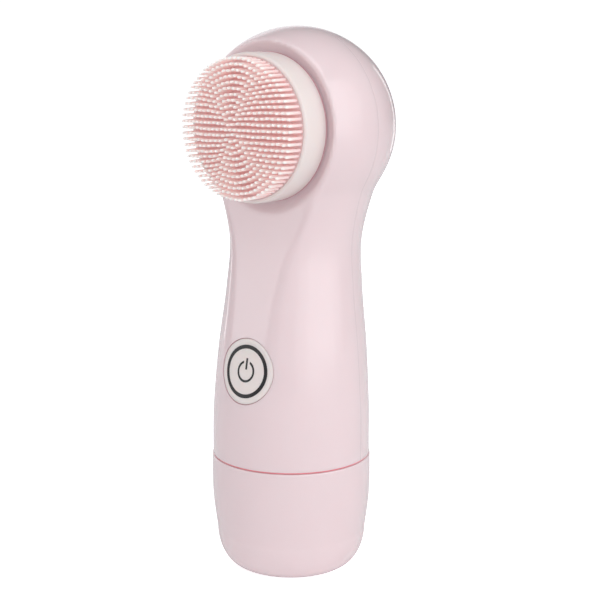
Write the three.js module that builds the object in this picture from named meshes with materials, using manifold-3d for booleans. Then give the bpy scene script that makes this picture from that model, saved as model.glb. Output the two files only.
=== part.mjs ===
// Facial cleansing brush: a battery handle with a ball-shaped head, a spinning silicone brush on
// its front, a push button, and a twist-off battery cap that it stands on.
// Millimetres, +Z up. The origin is the centre of the cap's flat foot; the brush faces -Y.
import * as THREE from "three";
import { mergeVertices } from "three/addons/utils/BufferGeometryUtils.js";
import Module from "manifold-3d";

const wasm = await Module();
wasm.setup();

// ---------------------------------------------------------------- driving dimensions

// Outer body
const WALL = 2.4; // shell thickness
const SEAM_Z = 38; // where the battery cap meets the handle
const SEAM_GAP = 0.5; // height of the slit that the cap seal fills
const SEAM_STEP = 0.25; // how far the cap stands proud of the handle at the seam
const FOOT_R = 18.4; // flat foot of the cap
const FOOT_TOP_Z = 12; // where the rounded foot runs into the side
const FOOT_ROUNDNESS = 1.86; // exponent of the foot's superelliptic corner
const HANDLE_PROFILE = [
  // [height, radius] stations of the handle's waisted profile
  [12, 25.0], [24, 26.4], [37.4, 26.5], [55, 26.0],
  [75, 24.6], [95, 22.4], [112, 21.8], [135, 27.3],
];
const HEAD_R = 31.4; // ball-shaped head: radius across
const HEAD_RZ = 32; // and radius upwards
const HEAD_Z = 146.5; // ball centre
const HEAD_BLEND = 1.8; // softness of the neck between handle and ball
const HEAD_SHIFT = 3.5; // how far the head's centre is set back from the handle's axis
const HEAD_DEPTH = 1.05; // head depth over head width
const SHELL_SPLIT_Y = 4.5; // parting plane of front and back shell
const SPLIT_GAP = 0.1;

// Front face that carries the brush, running down the neck as a shallow scoop
const FACE_Y = -12.9;
const SCOOP_PROFILE = [
  // [height, y] stations of the scoop's centre line
  [60, -26.5], [70, -23.4], [81, -21.2], [93, -18.7], [104, -16.3], [113, -14.1], [121, FACE_Y],
];
const SCOOP_BLEND = 2.6; // softness of the crease along the scoop's edge

// Brush and drive
const AXIS_Z = 147; // brush axis, along Y
const HUB_R = 23.4;
const HUB_BACK_Y = FACE_Y - 0.4; // back of the hub's boss
const DISH_Y = -11; // floor of the dish that the hub's skirt turns in
const DISH_IN_R = 9.3; // collar left round the spindle's hole
const DISH_OUT_R = 24.1; // at the floor; the wall leans outwards at 45 degrees
const SKIRT_BACK_Y = DISH_Y - 0.3;
const HUB_FRONT_Y = -21.6;
const HUB_WALL = 2;
const PAD_R = 22.1;
const TIP_R = 21.7; // bristle tips at the pad's edge
const TIP_EDGE_Y = -28;
const TIP_CENTRE_Y = -30.4;
const HEX_FLATS = 5; // drive hexagon of the spindle
const SPINDLE_R = 2.5;
const SPINDLE_FRONT_Y = -18;
const SPINDLE_BACK_Y = -2.7;

// Two-stage spur train, 10/40 and 10/40, on one centre distance
const MODULE = 0.5;
const WHEEL_TEETH = 40;
const PINION_TEETH = 10;
const PRESSURE = THREE.MathUtils.degToRad(20);
const SHIFT = 0.4; // profile shift, plus on pinions and minus on wheels
const PINION_ADDENDUM = 0.7;
const WHEEL_ADDENDUM = 0.3;
const ROOT_CLEARANCE = 0.15;
const BACKLASH = 0.06;
const CENTRES = (MODULE * (WHEEL_TEETH + PINION_TEETH)) / 2;
const IDLER_Z = AXIS_Z - CENTRES;
const OUT_FRONT_Y = -5.4; // output wheel's front face
const GEAR_W = 3;
const STAGE2_FRONT_Y = -1.8; // idler wheel's and motor pinion's front face
const PIN_R = 0.95;
const BOX_R = 12.6; // gearbox outline round each gear centre
const BOX_WALL = 1.3;
const BOX_FRONT_Y = -8.2;
const BOX_SPLIT_Y = 2.2;
const BOX_BACK_Y = 4.2;

// Motor, on the brush axis behind the gears
const MOTOR_R = 12;
const MOTOR_FRONT_Y = 4.5;
const MOTOR_BACK_Y = 27;
const MOTOR_SHAFT_R = 1;

// Button and switch
const BUTTON_Z = 69.8;
const BUTTON_R = 10.1;
const BUTTON_HOLE_R = 10.6;
const BUTTON_T = 2;
const BOARD_FRONT_Y = -14.6;
const BOARD_T = 1.2;
const BOARD_LOW_Z = 66.8;
const BOARD_HIGH_Z = 93;

// Battery bay: four AA cells in a square
const CELL_R = 7.25;
const CELL_LENGTH = 50.5;
const CELL_NUB = 1.5;
const CELL_PITCH = 14.9;
const CELL_LOW_Z = 10;
const CELL_HIGH_Z = CELL_LOW_Z + CELL_LENGTH;
const SLEEVE_R = 18.1; // inside
const SLEEVE_WALL = 1.4;
const SLEEVE_TOP_Z = 66.4;
const SPIGOT_R = 21.4; // the sleeve's collar, which the cap slides over
const SPIGOT_LOW_Z = 26;
const LUG_R = 22.6;
const LUGS = 3;
const LUG_SPAN = THREE.MathUtils.degToRad(36);
const DISC_R = 20.2;
const DISC_Z = 4.5;

const TAU = Math.PI * 2;

// ---------------------------------------------------------------- materials

const finish = (color, roughness, metalness = 0) =>
  new THREE.MeshStandardMaterial({ color, roughness, metalness });
const PINK_GLOSS = finish(0xe9d3d7, 0.18);
const CREAM = finish(0xeee2de, 0.4);
const SILICONE = finish(0xe6bfc0, 0.5);
const SEAL_PINK = finish(0xc58a92, 0.6);
const BLACK = finish(0x151515, 0.4);
const WHITE_PLASTIC = finish(0xdedcd6, 0.5);
const NYLON = finish(0xf1efe4, 0.45);
const STEEL = finish(0xb8babd, 0.3, 1);
const BRASS = finish(0xc9a45a, 0.3, 1);
const LABEL = finish(0x4a6c5a, 0.35);
const BOARD_GREEN = finish(0x1f6b45, 0.5);
const RED = finish(0xa8322c, 0.5);

// ---------------------------------------------------------------- solids from three.js geometry

// A closed three.js geometry as a solid, turned outwards if its faces point in.
function solid(geometry) {
  const bare = new THREE.BufferGeometry();
  bare.setAttribute("position", geometry.getAttribute("position"));
  if (geometry.index) bare.setIndex(geometry.index);
  const merged = mergeVertices(bare, 1e-4);
  const build = (triVerts) =>
    new wasm.Manifold(
      new wasm.Mesh({ numProp: 3, vertProperties: merged.attributes.position.array, triVerts }),
    );
  const triangles = dropSlivers(merged.index.array);
  const made = build(triangles);
  if (made.volume() > 0) return made;
  for (let i = 0; i < triangles.length; i += 3)
    [triangles[i + 1], triangles[i + 2]] = [triangles[i + 2], triangles[i + 1]];
  return build(triangles);
}

// Triangles that lost a corner when vertices merged, as at a lathe's axis, are left out.
function dropSlivers(index) {
  const kept = [];
  for (let i = 0; i < index.length; i += 3) {
    const [a, b, c] = [index[i], index[i + 1], index[i + 2]];
    if (a !== b && b !== c && c !== a) kept.push(a, b, c);
  }
  return new Uint32Array(kept);
}

const join = (...solids) => solids.reduce((sum, s) => sum.add(s));
const cut = (from, ...tools) => tools.reduce((rest, s) => rest.subtract(s), from);

// A solid of revolution about the Y axis through (x, z), from [radius, y] points.
function turnedY(profile, { sides = 24, x = 0, z = 0 } = {}) {
  const points = profile.map(([r, y]) => new THREE.Vector2(r, y));
  points.push(points[0].clone());
  return solid(new THREE.LatheGeometry(points, sides).translate(x, 0, z));
}

// The same about the Z axis through (x, y), from [radius, z] points.
function turnedZ(profile, { sides = 24, x = 0, y = 0 } = {}) {
  const points = profile.map(([r, z]) => new THREE.Vector2(r, z));
  points.push(points[0].clone());
  return solid(new THREE.LatheGeometry(points, sides).rotateX(Math.PI / 2).translate(x, y, 0));
}

const barProfile = (r, low, high) => [[0, low], [r, low], [r, high], [0, high]];
const pipeProfile = (rIn, rOut, low, high) => [[rIn, low], [rOut, low], [rOut, high], [rIn, high]];
const barY = (r, low, high, at) => turnedY(barProfile(r, low, high), at);
const pipeY = (rIn, rOut, low, high, at) => turnedY(pipeProfile(rIn, rOut, low, high), at);
const barZ = (r, low, high, at) => turnedZ(barProfile(r, low, high), at);
const pipeZ = (rIn, rOut, low, high, at) => turnedZ(pipeProfile(rIn, rOut, low, high), at);

// A box between two corners.
function block(low, high) {
  const size = high.map((value, i) => value - low[i]);
  const middle = high.map((value, i) => (value + low[i]) / 2);
  return solid(new THREE.BoxGeometry(...size).translate(...middle));
}

// An outline in X and Z, extruded along Y from low to high.
function plateY(outline, low, high, { x = 0, z = 0 } = {}) {
  const shape = new THREE.Shape(outline.map(([u, v]) => new THREE.Vector2(u, v)));
  const geometry = new THREE.ExtrudeGeometry(shape, { depth: high - low, bevelEnabled: false });
  return solid(geometry.rotateX(Math.PI / 2).translate(x, high, z));
}

// An outline in X and Y, extruded along Z from low to high.
function plateZ(outline, low, high) {
  const shape = new THREE.Shape(outline.map(([u, v]) => new THREE.Vector2(u, v)));
  const geometry = new THREE.ExtrudeGeometry(shape, { depth: high - low, bevelEnabled: false });
  return solid(geometry.translate(0, 0, low));
}

// A sector of a ring, for bayonet lugs and tabs.
function ringSector(rIn, rOut, centre, span, low, high) {
  const outline = [];
  const steps = 5;
  for (let i = 0; i <= steps; i++) {
    const a = centre + span * (i / steps - 0.5);
    outline.push([rOut * Math.cos(a), rOut * Math.sin(a)]);
  }
  for (let i = steps; i >= 0; i--) {
    const a = centre + span * (i / steps - 0.5);
    outline.push([rIn * Math.cos(a), rIn * Math.sin(a)]);
  }
  return plateZ(outline, low, high);
}

// A round-headed, slotted machine screw along Y: the underside of its head is at headY.
function screwY(x, z, headY, tipY, headR = 1.9, shankR = 1.0) {
  const towards = Math.sign(tipY - headY);
  const headHeight = 1.3;
  const topY = headY - towards * headHeight;
  const body = turnedY(
    [
      [0, topY], [headR * 0.7, topY], [headR, headY - towards * 0.6], [headR, headY],
      [shankR, headY], [shankR, tipY - towards * 0.5], [shankR * 0.5, tipY], [0, tipY],
    ],
    { sides: 8, x, z },
  );
  const slot = [topY - towards, topY + towards * 0.6].sort((a, b) => a - b);
  return cut(body, block([x - 3, slot[0], z - 0.25], [x + 3, slot[1], z + 0.25]));
}

// ---------------------------------------------------------------- the outer body's form

const smooth = (t) => {
  const c = Math.min(1, Math.max(0, t));
  return c * c * (3 - 2 * c);
};

// A smooth curve through [position, value] stations (cubic Hermite, slopes from the neighbours).
function through(stations, at) {
  const n = stations.length;
  if (at <= stations[0][0]) return stations[0][1];
  if (at >= stations[n - 1][0]) return stations[n - 1][1];
  const slope = (i) => {
    const [a, b] = [stations[Math.max(0, i - 1)], stations[Math.min(n - 1, i + 1)]];
    return (b[1] - a[1]) / (b[0] - a[0]);
  };
  const i = stations.findIndex((s, k) => at >= s[0] && at < stations[k + 1][0]);
  const [[x0, y0], [x1, y1]] = [stations[i], stations[i + 1]];
  const h = x1 - x0;
  const t = (at - x0) / h;
  return (
    y0 * (1 + 2 * t) * (1 - t) ** 2 +
    y1 * t * t * (3 - 2 * t) +
    h * t * (1 - t) * (slope(i) * (1 - t) - slope(i + 1) * t)
  );
}

// Soft maximum and minimum: the corner between two values is rounded over k.
const softMax = (a, b, k) => Math.max(a, b) + (Math.max(k - Math.abs(a - b), 0) / k) ** 3 * (k / 6);
const softMin = (a, b, k) => -softMax(-a, -b, k);

const HEAD_TOP_Z = HEAD_Z + HEAD_RZ;

// Half-width of the body at a height, drawn in by an inset.
function halfWidth(z, inset) {
  if (z < FOOT_TOP_Z) {
    const s = (FOOT_TOP_Z - z) / FOOT_TOP_Z;
    const corner = (1 - s ** FOOT_ROUNDNESS) ** (1 / FOOT_ROUNDNESS);
    return FOOT_R + (HANDLE_PROFILE[0][1] - FOOT_R) * corner - inset;
  }
  const up = (z - HEAD_Z) / (HEAD_RZ - inset);
  const ball = (HEAD_R - inset) * Math.sqrt(Math.max(0, 1 - up * up));
  if (z >= HEAD_Z) return ball;
  const step = z < SEAM_Z ? 0 : SEAM_STEP * (1 - smooth((z - SEAM_Z) / 17));
  const handle = through(HANDLE_PROFILE, z) - step - inset;
  return softMax(handle, ball, HEAD_BLEND);
}

// A point on the body's surface: angle 0 is the front (-Y), 90 degrees is +X.
function bodyPoint(angle, z, inset) {
  const a = halfWidth(z, inset);
  const b = a * (1 + (HEAD_DEPTH - 1) * smooth((z - 100) / (HEAD_Z - 100)));
  const centreY = HEAD_SHIFT * smooth((z - 40) / (HEAD_Z - 40));
  const [c, s] = [Math.cos(angle), Math.sin(angle)];
  let r = (a * b) / Math.hypot(b * s, a * c);
  const faceY = (z > SCOOP_PROFILE.at(-1)[0] ? FACE_Y : scoopY(z)) + inset;
  if (c > 0.02) r = softMin(r, (centreY - faceY) / c, SCOOP_BLEND);
  return [r * s, centreY - r * c, z];
}

function scoopY(z) {
  return z < SCOOP_PROFILE[0][0] ? -60 : through(SCOOP_PROFILE, z);
}

// Heights of the body's rings between two levels, closer together round the ball.
function ringHeights(low, inset) {
  const heights = [];
  const capHeights = [0, 1.2, 3.2, 6.5, 12, 22, SEAM_Z - 0.1];
  for (const z of capHeights) if (z > low + 0.6) heights.push(z);
  for (let z = SEAM_Z + 8; z < HEAD_Z - 24; z += 7.5) if (z > low + 0.6) heights.push(z);
  const quarter = 10; // rings from the ball's widest place to its top
  for (let i = 1 - quarter / 2; i < quarter; i++) {
    const z = HEAD_Z + (HEAD_RZ - inset) * Math.sin((i / quarter) * (Math.PI / 2));
    if (z > heights.at(-1) + 0.3) heights.push(z);
  }
  return [low, ...heights];
}

// The body's form as a closed solid, from a flat bottom at low to the top of the ball.
function bodyForm({ inset = 0, low = 0, sides = 36 }) {
  const rings = ringHeights(low, inset);
  const positions = [];
  for (const z of rings)
    for (let i = 0; i < sides; i++) positions.push(...bodyPoint((TAU * i) / sides, z, inset));
  const bottom = positions.length / 3;
  positions.push(0, 0, low);
  positions.push(0, HEAD_SHIFT, HEAD_TOP_Z - inset);
  const index = [];
  const at = (ring, i) => ring * sides + (i % sides);
  for (let i = 0; i < sides; i++) {
    index.push(bottom, at(0, i + 1), at(0, i));
    for (let k = 0; k + 1 < rings.length; k++) {
      index.push(at(k, i), at(k, i + 1), at(k + 1, i + 1));
      index.push(at(k, i), at(k + 1, i + 1), at(k + 1, i));
    }
    index.push(at(rings.length - 1, i), at(rings.length - 1, i + 1), bottom + 1);
  }
  const geometry = new THREE.BufferGeometry();
  geometry.setAttribute("position", new THREE.Float32BufferAttribute(positions, 3));
  geometry.setIndex(index);
  return solid(geometry);
}

// ---------------------------------------------------------------- handle shells

const FAR = 100; // half-size of the boxes that cut the body in two
const BUTTON_BOSS_BACK_Y = -18.4;
const MEMBRANE_R = 12.8; // membrane behind the button
const MEMBRANE_T = 0.4;
const GEARBOX_MOUNTS = [[0, 163], [-14.2, 128.5], [14.2, 128.5]]; // screw places [x, z]
const BOARD_MOUNTS = [[-6.5, 89], [6.5, 89]];

function shells() {
  const low = SEAM_Z + SEAM_GAP / 2 + 0.1;
  const form = bodyForm({ low });
  let shell = cut(form, bodyForm({ inset: WALL, low: low - 1, sides: 24 }));
  // Rib that the battery sleeve's flange is pulled up against.
  shell = join(shell, pipeZ(20.3, 24.6, 42.2, 43.6, { sides: 24 }));
  // Flat seat behind the button, and posts for the board and the gearbox.
  const seat = barY(13, -22.5, BUTTON_BOSS_BACK_Y, { z: BUTTON_Z });
  const boardPosts = BOARD_MOUNTS.map(([x, z]) =>
    barY(2.3, -18.5, BOARD_FRONT_Y - 0.1, { sides: 10, x, z }),
  );
  const gearPosts = GEARBOX_MOUNTS.map(([x, z]) =>
    barY(2.8, FACE_Y + 1, BOX_FRONT_Y - 0.1, { sides: 10, x, z }),
  );
  // Thicker wall behind the dish.
  const backing = barY(DISH_OUT_R + 3.4, FACE_Y + 2.1, DISH_Y + 2.1, { z: AXIS_Z });
  const added = join(seat, ...boardPosts, ...gearPosts, backing).intersect(form);
  shell = join(shell, added);
  const lip = DISH_OUT_R + 4;
  const dish = turnedY(
    [
      [DISH_IN_R, DISH_Y - 5], [lip, DISH_Y - 5], [lip, DISH_Y - 4],
      [DISH_OUT_R, DISH_Y], [DISH_IN_R, DISH_Y],
    ],
    { sides: 48, z: AXIS_Z },
  );
  const holes = [
    dish,
    barY(BUTTON_HOLE_R, -40, BUTTON_BOSS_BACK_Y + 1, { sides: 28, z: BUTTON_Z }),
    barY(6.4, -20, -5, { z: AXIS_Z }),
    ...BOARD_MOUNTS.map(([x, z]) => barY(1.25, -18.2, -10, { sides: 8, x, z })),
    ...GEARBOX_MOUNTS.map(([x, z]) => barY(1.25, DISH_Y + 0.5, -5, { sides: 8, x, z })),
    barY(MEMBRANE_R + 0.4, BUTTON_BOSS_BACK_Y, -14, { z: BUTTON_Z }),
  ];
  shell = cut(shell, ...holes);
  const half = SPLIT_GAP / 2;
  const behind = block([-FAR, SHELL_SPLIT_Y - half, -FAR], [FAR, FAR, 3 * FAR]);
  const ahead = block([-FAR, -FAR, -FAR], [FAR, SHELL_SPLIT_Y + half, 3 * FAR]);
  return { front: cut(shell, behind), back: cut(shell, ahead) };
}

// ---------------------------------------------------------------- battery cap and its seal

function baseCap() {
  const top = SEAM_Z - SEAM_GAP / 2 + 0.05;
  const above = block([-FAR, -FAR, top], [FAR, FAR, 3 * FAR]);
  const hollow = bodyForm({ inset: WALL, low: 2.6, sides: 28 });
  return cut(bodyForm({}), above, hollow);
}

const BAYONET_LOW_Z = 29; // bayonet ring in the cap
const TAB_LOW_Z = 33.2; // its tabs pass between the lugs, then turn in above them
const LUG_LOW_Z = 29.6;
const LUG_HIGH_Z = 32.6;

function bayonetRing() {
  const ring = pipeZ(LUG_R + 0.35, 23.7, BAYONET_LOW_Z, 36.5, { sides: 36 });
  const tabs = [];
  for (let i = 0; i < LUGS; i++) {
    const centre = (TAU * (i + 0.5)) / LUGS;
    tabs.push(ringSector(SPIGOT_R + 0.3, LUG_R + 0.6, centre, LUG_SPAN, TAB_LOW_Z, 35.4));
  }
  return join(ring, ...tabs);
}

const capSeal = () => pipeZ(24.3, 25.9, SEAM_Z - 0.15, SEAM_Z + 0.3, { sides: 36 });

// ---------------------------------------------------------------- battery sleeve, cells, contacts

const CELL_X = CELL_PITCH / 2;
const SLEEVE_FLAT_Y = -17.6;
const SLEEVE_FLAT_Z = 54;
const CONTACT_Z = 64.4; // upper contact plates
const TAB_Y = -10.5; // solder tabs of the two upper terminals

function batterySleeve() {
  let sleeve = turnedZ(
    [
      [SLEEVE_R, SPIGOT_LOW_Z], [SPIGOT_R, SPIGOT_LOW_Z], [SPIGOT_R, 39], [23.3, 39],
      [23.3, 41.9], [SLEEVE_R + SLEEVE_WALL, 41.9], [SLEEVE_R + SLEEVE_WALL, SLEEVE_TOP_Z],
      [0, SLEEVE_TOP_Z], [0, SLEEVE_TOP_Z - 1.4], [SLEEVE_R, SLEEVE_TOP_Z - 1.4],
    ],
    { sides: 36 },
  );
  for (let i = 0; i < LUGS; i++) {
    const centre = (TAU * i) / LUGS;
    sleeve = join(
      sleeve,
      ringSector(SPIGOT_R - 0.6, LUG_R, centre, LUG_SPAN, LUG_LOW_Z, LUG_HIGH_Z),
    );
  }
  // Flat on the front, clear of the button's seat.
  const ledge = barZ(SLEEVE_R + 1, 52.6, SLEEVE_FLAT_Z, { sides: 36 }).intersect(
    block([-8.4, -20, 50], [8.4, SLEEVE_FLAT_Y + SLEEVE_WALL, 60]),
  );
  sleeve = join(
    cut(sleeve, block([-20, -30, SLEEVE_FLAT_Z], [20, SLEEVE_FLAT_Y, 70])),
    ledge,
    block([-8.4, SLEEVE_FLAT_Y, 53], [8.4, SLEEVE_FLAT_Y + SLEEVE_WALL, SLEEVE_TOP_Z]),
  );
  const slots = [-1, 1].map((side) =>
    block([side * CELL_X - 1.6, TAB_Y - 0.8, 60], [side * CELL_X + 1.6, TAB_Y + 0.8, 70]),
  );
  return cut(sleeve, ...slots);
}

// An AA cell. Its positive nub is at the top, or at the bottom when it stands on its head.
function cell(x, y, nubUp) {
  const [low, high] = nubUp
    ? [CELL_LOW_Z, CELL_HIGH_Z - CELL_NUB]
    : [CELL_LOW_Z + CELL_NUB, CELL_HIGH_Z];
  const body = barZ(CELL_R, low, high, { sides: 20, x, y });
  const nub = nubUp
    ? barZ(2.75, high - 0.5, CELL_HIGH_Z, { sides: 12, x, y })
    : barZ(2.75, CELL_LOW_Z, low + 0.5, { sides: 12, x, y });
  return join(body, nub);
}

// A conical battery spring's outer form, open down its middle.
function batterySpring(x, y, wideZ, narrowZ) {
  const lean = Math.sign(narrowZ - wideZ) * 0.01;
  const profile = [[4.2, wideZ], [5, wideZ], [3.2, narrowZ], [2.4, narrowZ - lean]];
  return turnedZ(profile, { sides: 14, x, y });
}

const LOWER_PLATE_Z = DISC_Z + 1.6;

function lowerBridge(side) {
  const x = side * CELL_X;
  const nubY = side * CELL_X; // under the cell whose nub points down
  const plate = block([x - 4.6, -12.2, LOWER_PLATE_Z], [x + 4.6, 12.2, LOWER_PLATE_Z + 0.4]);
  const nub = turnedZ(
    [[0, LOWER_PLATE_Z], [3.4, LOWER_PLATE_Z], [2.4, CELL_LOW_Z - 0.1], [0, CELL_LOW_Z - 0.1]],
    { sides: 12, x, y: nubY },
  );
  return join(plate, nub);
}

function upperNub(x, y) {
  const low = CELL_HIGH_Z + 0.1;
  const high = CONTACT_Z + 0.2;
  const profile = [[0, low], [2.2, low], [3.2, high], [0, high]];
  return turnedZ(profile, { sides: 12, x, y });
}

function upperBridge() {
  const plate = block([-11.8, CELL_X - 4.4, CONTACT_Z], [11.8, CELL_X + 4.4, CONTACT_Z + 0.4]);
  return join(plate, upperNub(-CELL_X, CELL_X));
}

// A single upper terminal with its solder tab, which passes up through the sleeve's lid.
function upperTerminal(side) {
  const x = side * CELL_X;
  const plate = block([x - 4.2, TAB_Y - 0.5, CONTACT_Z], [x + 4.2, -3.4, CONTACT_Z + 0.4]);
  const tab = block([x - 1.1, TAB_Y - 0.25, CONTACT_Z], [x + 1.1, TAB_Y + 0.25, 69]);
  return side > 0 ? join(plate, tab, upperNub(x, -CELL_X)) : join(plate, tab);
}

// The disc in the cap that carries the lower contacts. Its two posts stand in the gaps between
// the cells, so it keeps its place while the cap turns round it.
function contactDisc() {
  const disc = barZ(DISC_R, DISC_Z, DISC_Z + 1.5, { sides: 36 });
  const posts = [-1, 1].map((side) =>
    barZ(1.5, DISC_Z + 1, 32, { sides: 8, x: side * 16.2 }),
  );
  return join(disc, ...posts);
}

// ---------------------------------------------------------------- gears

const involute = (angle) => Math.tan(angle) - angle;

// Outline of a spur gear with a tooth on the +X line: three points up each flank.
function gearOutline(teeth, shift, addendum, matingTip) {
  const pitchR = (MODULE * teeth) / 2;
  const baseR = pitchR * Math.cos(PRESSURE);
  const tipR = pitchR + addendum;
  const rootR = CENTRES - matingTip - ROOT_CLEARANCE;
  const halfAtPitch =
    (Math.PI / 2 + 2 * shift * Math.tan(PRESSURE)) / teeth - BACKLASH / (2 * pitchR);
  const halfAt = (r) => {
    const pressure = Math.acos(baseR / Math.max(r, start));
    return halfAtPitch + involute(PRESSURE) - involute(pressure);
  };
  const start = Math.max(rootR, baseR);
  const flank = [rootR, pitchR, tipR];
  const outline = [];
  for (let i = 0; i < teeth; i++) {
    const middle = (TAU * i) / teeth;
    const point = (r, a) => outline.push([r * Math.cos(middle + a), r * Math.sin(middle + a)]);
    for (const r of flank) point(r, -halfAt(r));
    for (const r of [...flank].reverse()) point(r, halfAt(r));
  }
  return outline;
}

const PINION_TIP_R = (MODULE * PINION_TEETH) / 2 + PINION_ADDENDUM;
const WHEEL_TIP_R = (MODULE * WHEEL_TEETH) / 2 + WHEEL_ADDENDUM;
const pinionOutline = gearOutline(PINION_TEETH, SHIFT, PINION_ADDENDUM, WHEEL_TIP_R);
const wheelOutline = gearOutline(WHEEL_TEETH, -SHIFT, WHEEL_ADDENDUM, PINION_TIP_R);

// Shallow ring-shaped recesses thin the web of a wheel on both faces.
function webRecesses(low, high, z) {
  return [
    pipeY(4.4, 8.0, low - 1, low + 0.8, { sides: 16, z }),
    pipeY(4.4, 8.0, high - 0.8, high + 1, { sides: 16, z }),
  ];
}

function outputGear() {
  const back = OUT_FRONT_Y + GEAR_W;
  const wheel = plateY(wheelOutline, OUT_FRONT_Y, back, { z: AXIS_Z });
  return cut(
    wheel,
    ...webRecesses(OUT_FRONT_Y, back, AXIS_Z),
    barY(SPINDLE_R + 0.25, -20, 20, { sides: 16, z: AXIS_Z }),
  );
}

function idlerGear() {
  const back = STAGE2_FRONT_Y + GEAR_W;
  const wheel = plateY(wheelOutline, STAGE2_FRONT_Y, back, { z: IDLER_Z });
  const pinion = plateY(pinionOutline, OUT_FRONT_Y, STAGE2_FRONT_Y + 1, { z: IDLER_Z });
  const [, behind] = webRecesses(STAGE2_FRONT_Y, back, IDLER_Z);
  return cut(join(wheel, pinion), behind, barY(PIN_R + 0.2, -20, 20, { sides: 12, z: IDLER_Z }));
}

function motorPinion() {
  const gear = plateY(pinionOutline, STAGE2_FRONT_Y, STAGE2_FRONT_Y + GEAR_W, { z: AXIS_Z });
  return cut(gear, barY(MOTOR_SHAFT_R + 0.15, -20, 20, { sides: 12, z: AXIS_Z }));
}

// ---------------------------------------------------------------- gearbox, spindle, motor

// Outline round both gear centres: a straight-sided oval.
function boxOutline(r) {
  const outline = [];
  const steps = 10;
  for (let i = 0; i <= steps; i++) {
    const a = (Math.PI * i) / steps;
    outline.push([r * Math.cos(a), AXIS_Z + r * Math.sin(a)]);
  }
  for (let i = 0; i <= steps; i++) {
    const a = Math.PI + (Math.PI * i) / steps;
    outline.push([r * Math.cos(a), IDLER_Z + r * Math.sin(a)]);
  }
  return outline;
}

const EAR_X = 13.8;
const EAR_Z = (AXIS_Z + IDLER_Z) / 2;
const NOSE_R = 5.9;
const BUSH_R = 4;
const SEAL_R = 4.9;
const NOSE_FRONT_Y = -12.6;
const SEAL_BACK_Y = -11.2;

function gearboxFront() {
  const floor = BOX_FRONT_Y + 2;
  const ears = [-1, 1].map((side) =>
    barY(2.8, BOX_FRONT_Y, BOX_SPLIT_Y, { sides: 10, x: side * EAR_X, z: EAR_Z }),
  );
  const feet = GEARBOX_MOUNTS.map(([x, z]) => barY(2.8, BOX_FRONT_Y, floor, { sides: 10, x, z }));
  const arms = [
    block([-1.8, BOX_FRONT_Y, AXIS_Z + 10], [1.8, floor, 163]),
    block([-14.2, BOX_FRONT_Y, 126.9], [-6, floor, 130.1]),
    block([6, BOX_FRONT_Y, 126.9], [14.2, floor, 130.1]),
  ];
  const cup = cut(
    join(plateY(boxOutline(BOX_R), BOX_FRONT_Y, BOX_SPLIT_Y), ...ears, ...feet, ...arms),
    plateY(boxOutline(BOX_R - BOX_WALL), floor, BOX_SPLIT_Y + 5),
  );
  return cut(
    join(cup, barY(NOSE_R, NOSE_FRONT_Y, BOX_FRONT_Y + 1, { z: AXIS_Z })),
    barY(BUSH_R + 0.2, -30, 0, { z: AXIS_Z }),
    barY(SEAL_R + 0.2, -30, SEAL_BACK_Y, { z: AXIS_Z }),
    barY(PIN_R + 0.2, floor - 1.4, 0, { sides: 12, z: IDLER_Z }),
    ...[-1, 1].map((side) => barY(1.25, -6, 9, { sides: 8, x: side * EAR_X, z: EAR_Z })),
    ...GEARBOX_MOUNTS.map(([x, z]) => barY(1.25, -20, 0, { sides: 8, x, z })),
  );
}

const MOTOR_SCREW_X = 6.5;

function gearboxRear() {
  const low = BOX_SPLIT_Y + 0.1;
  const ears = [-1, 1].map((side) =>
    barY(2.8, low, BOX_BACK_Y, { sides: 10, x: side * EAR_X, z: EAR_Z }),
  );
  return cut(
    join(plateY(boxOutline(BOX_R), low, BOX_BACK_Y), ...ears),
    barY(3.4, -20, 20, { sides: 20, z: AXIS_Z }),
    barY(PIN_R + 0.2, 0, low + 1.2, { sides: 12, z: IDLER_Z }),
    ...[-1, 1].map((side) => barY(1.25, 0, 9, { sides: 8, x: side * EAR_X, z: EAR_Z })),
    ...[-1, 1].map((side) => barY(1.25, 0, 9, { sides: 8, x: side * MOTOR_SCREW_X, z: AXIS_Z })),
  );
}

const hexOutline = (flats) =>
  [0, 1, 2, 3, 4, 5].map((i) => {
    const r = flats / Math.sqrt(3);
    return [r * Math.cos((TAU * i) / 6), r * Math.sin((TAU * i) / 6)];
  });

function outputSpindle() {
  const hexBack = -13.2;
  const round = barY(SPINDLE_R, hexBack, SPINDLE_BACK_Y, { sides: 16, z: AXIS_Z });
  const collar = barY(3.4, -6.0, OUT_FRONT_Y - 0.15, { sides: 16, z: AXIS_Z });
  const hex = plateY(hexOutline(HEX_FLATS), SPINDLE_FRONT_Y, hexBack + 0.5, { z: AXIS_Z });
  const groove = pipeY(2.45, 4, -16.6, -15.6, { sides: 12, z: AXIS_Z });
  return join(round, collar, cut(hex, groove));
}

const spindleBush = () =>
  pipeY(SPINDLE_R + 0.1, BUSH_R, SEAL_BACK_Y + 0.2, -6.2, { sides: 16, z: AXIS_Z });
const shaftSeal = () =>
  turnedY(
    [
      [SPINDLE_R + 0.5, NOSE_FRONT_Y], [SEAL_R, NOSE_FRONT_Y],
      [SEAL_R, SEAL_BACK_Y - 0.1], [SPINDLE_R + 0.15, SEAL_BACK_Y - 0.1],
    ],
    { sides: 16, z: AXIS_Z },
  );
const idlerPin = () => barY(PIN_R, BOX_FRONT_Y + 0.8, BOX_SPLIT_Y + 1.1, { sides: 12, z: IDLER_Z });
const motorShaft = () => barY(MOTOR_SHAFT_R, -2.3, 9, { sides: 12, z: AXIS_Z });

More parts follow.
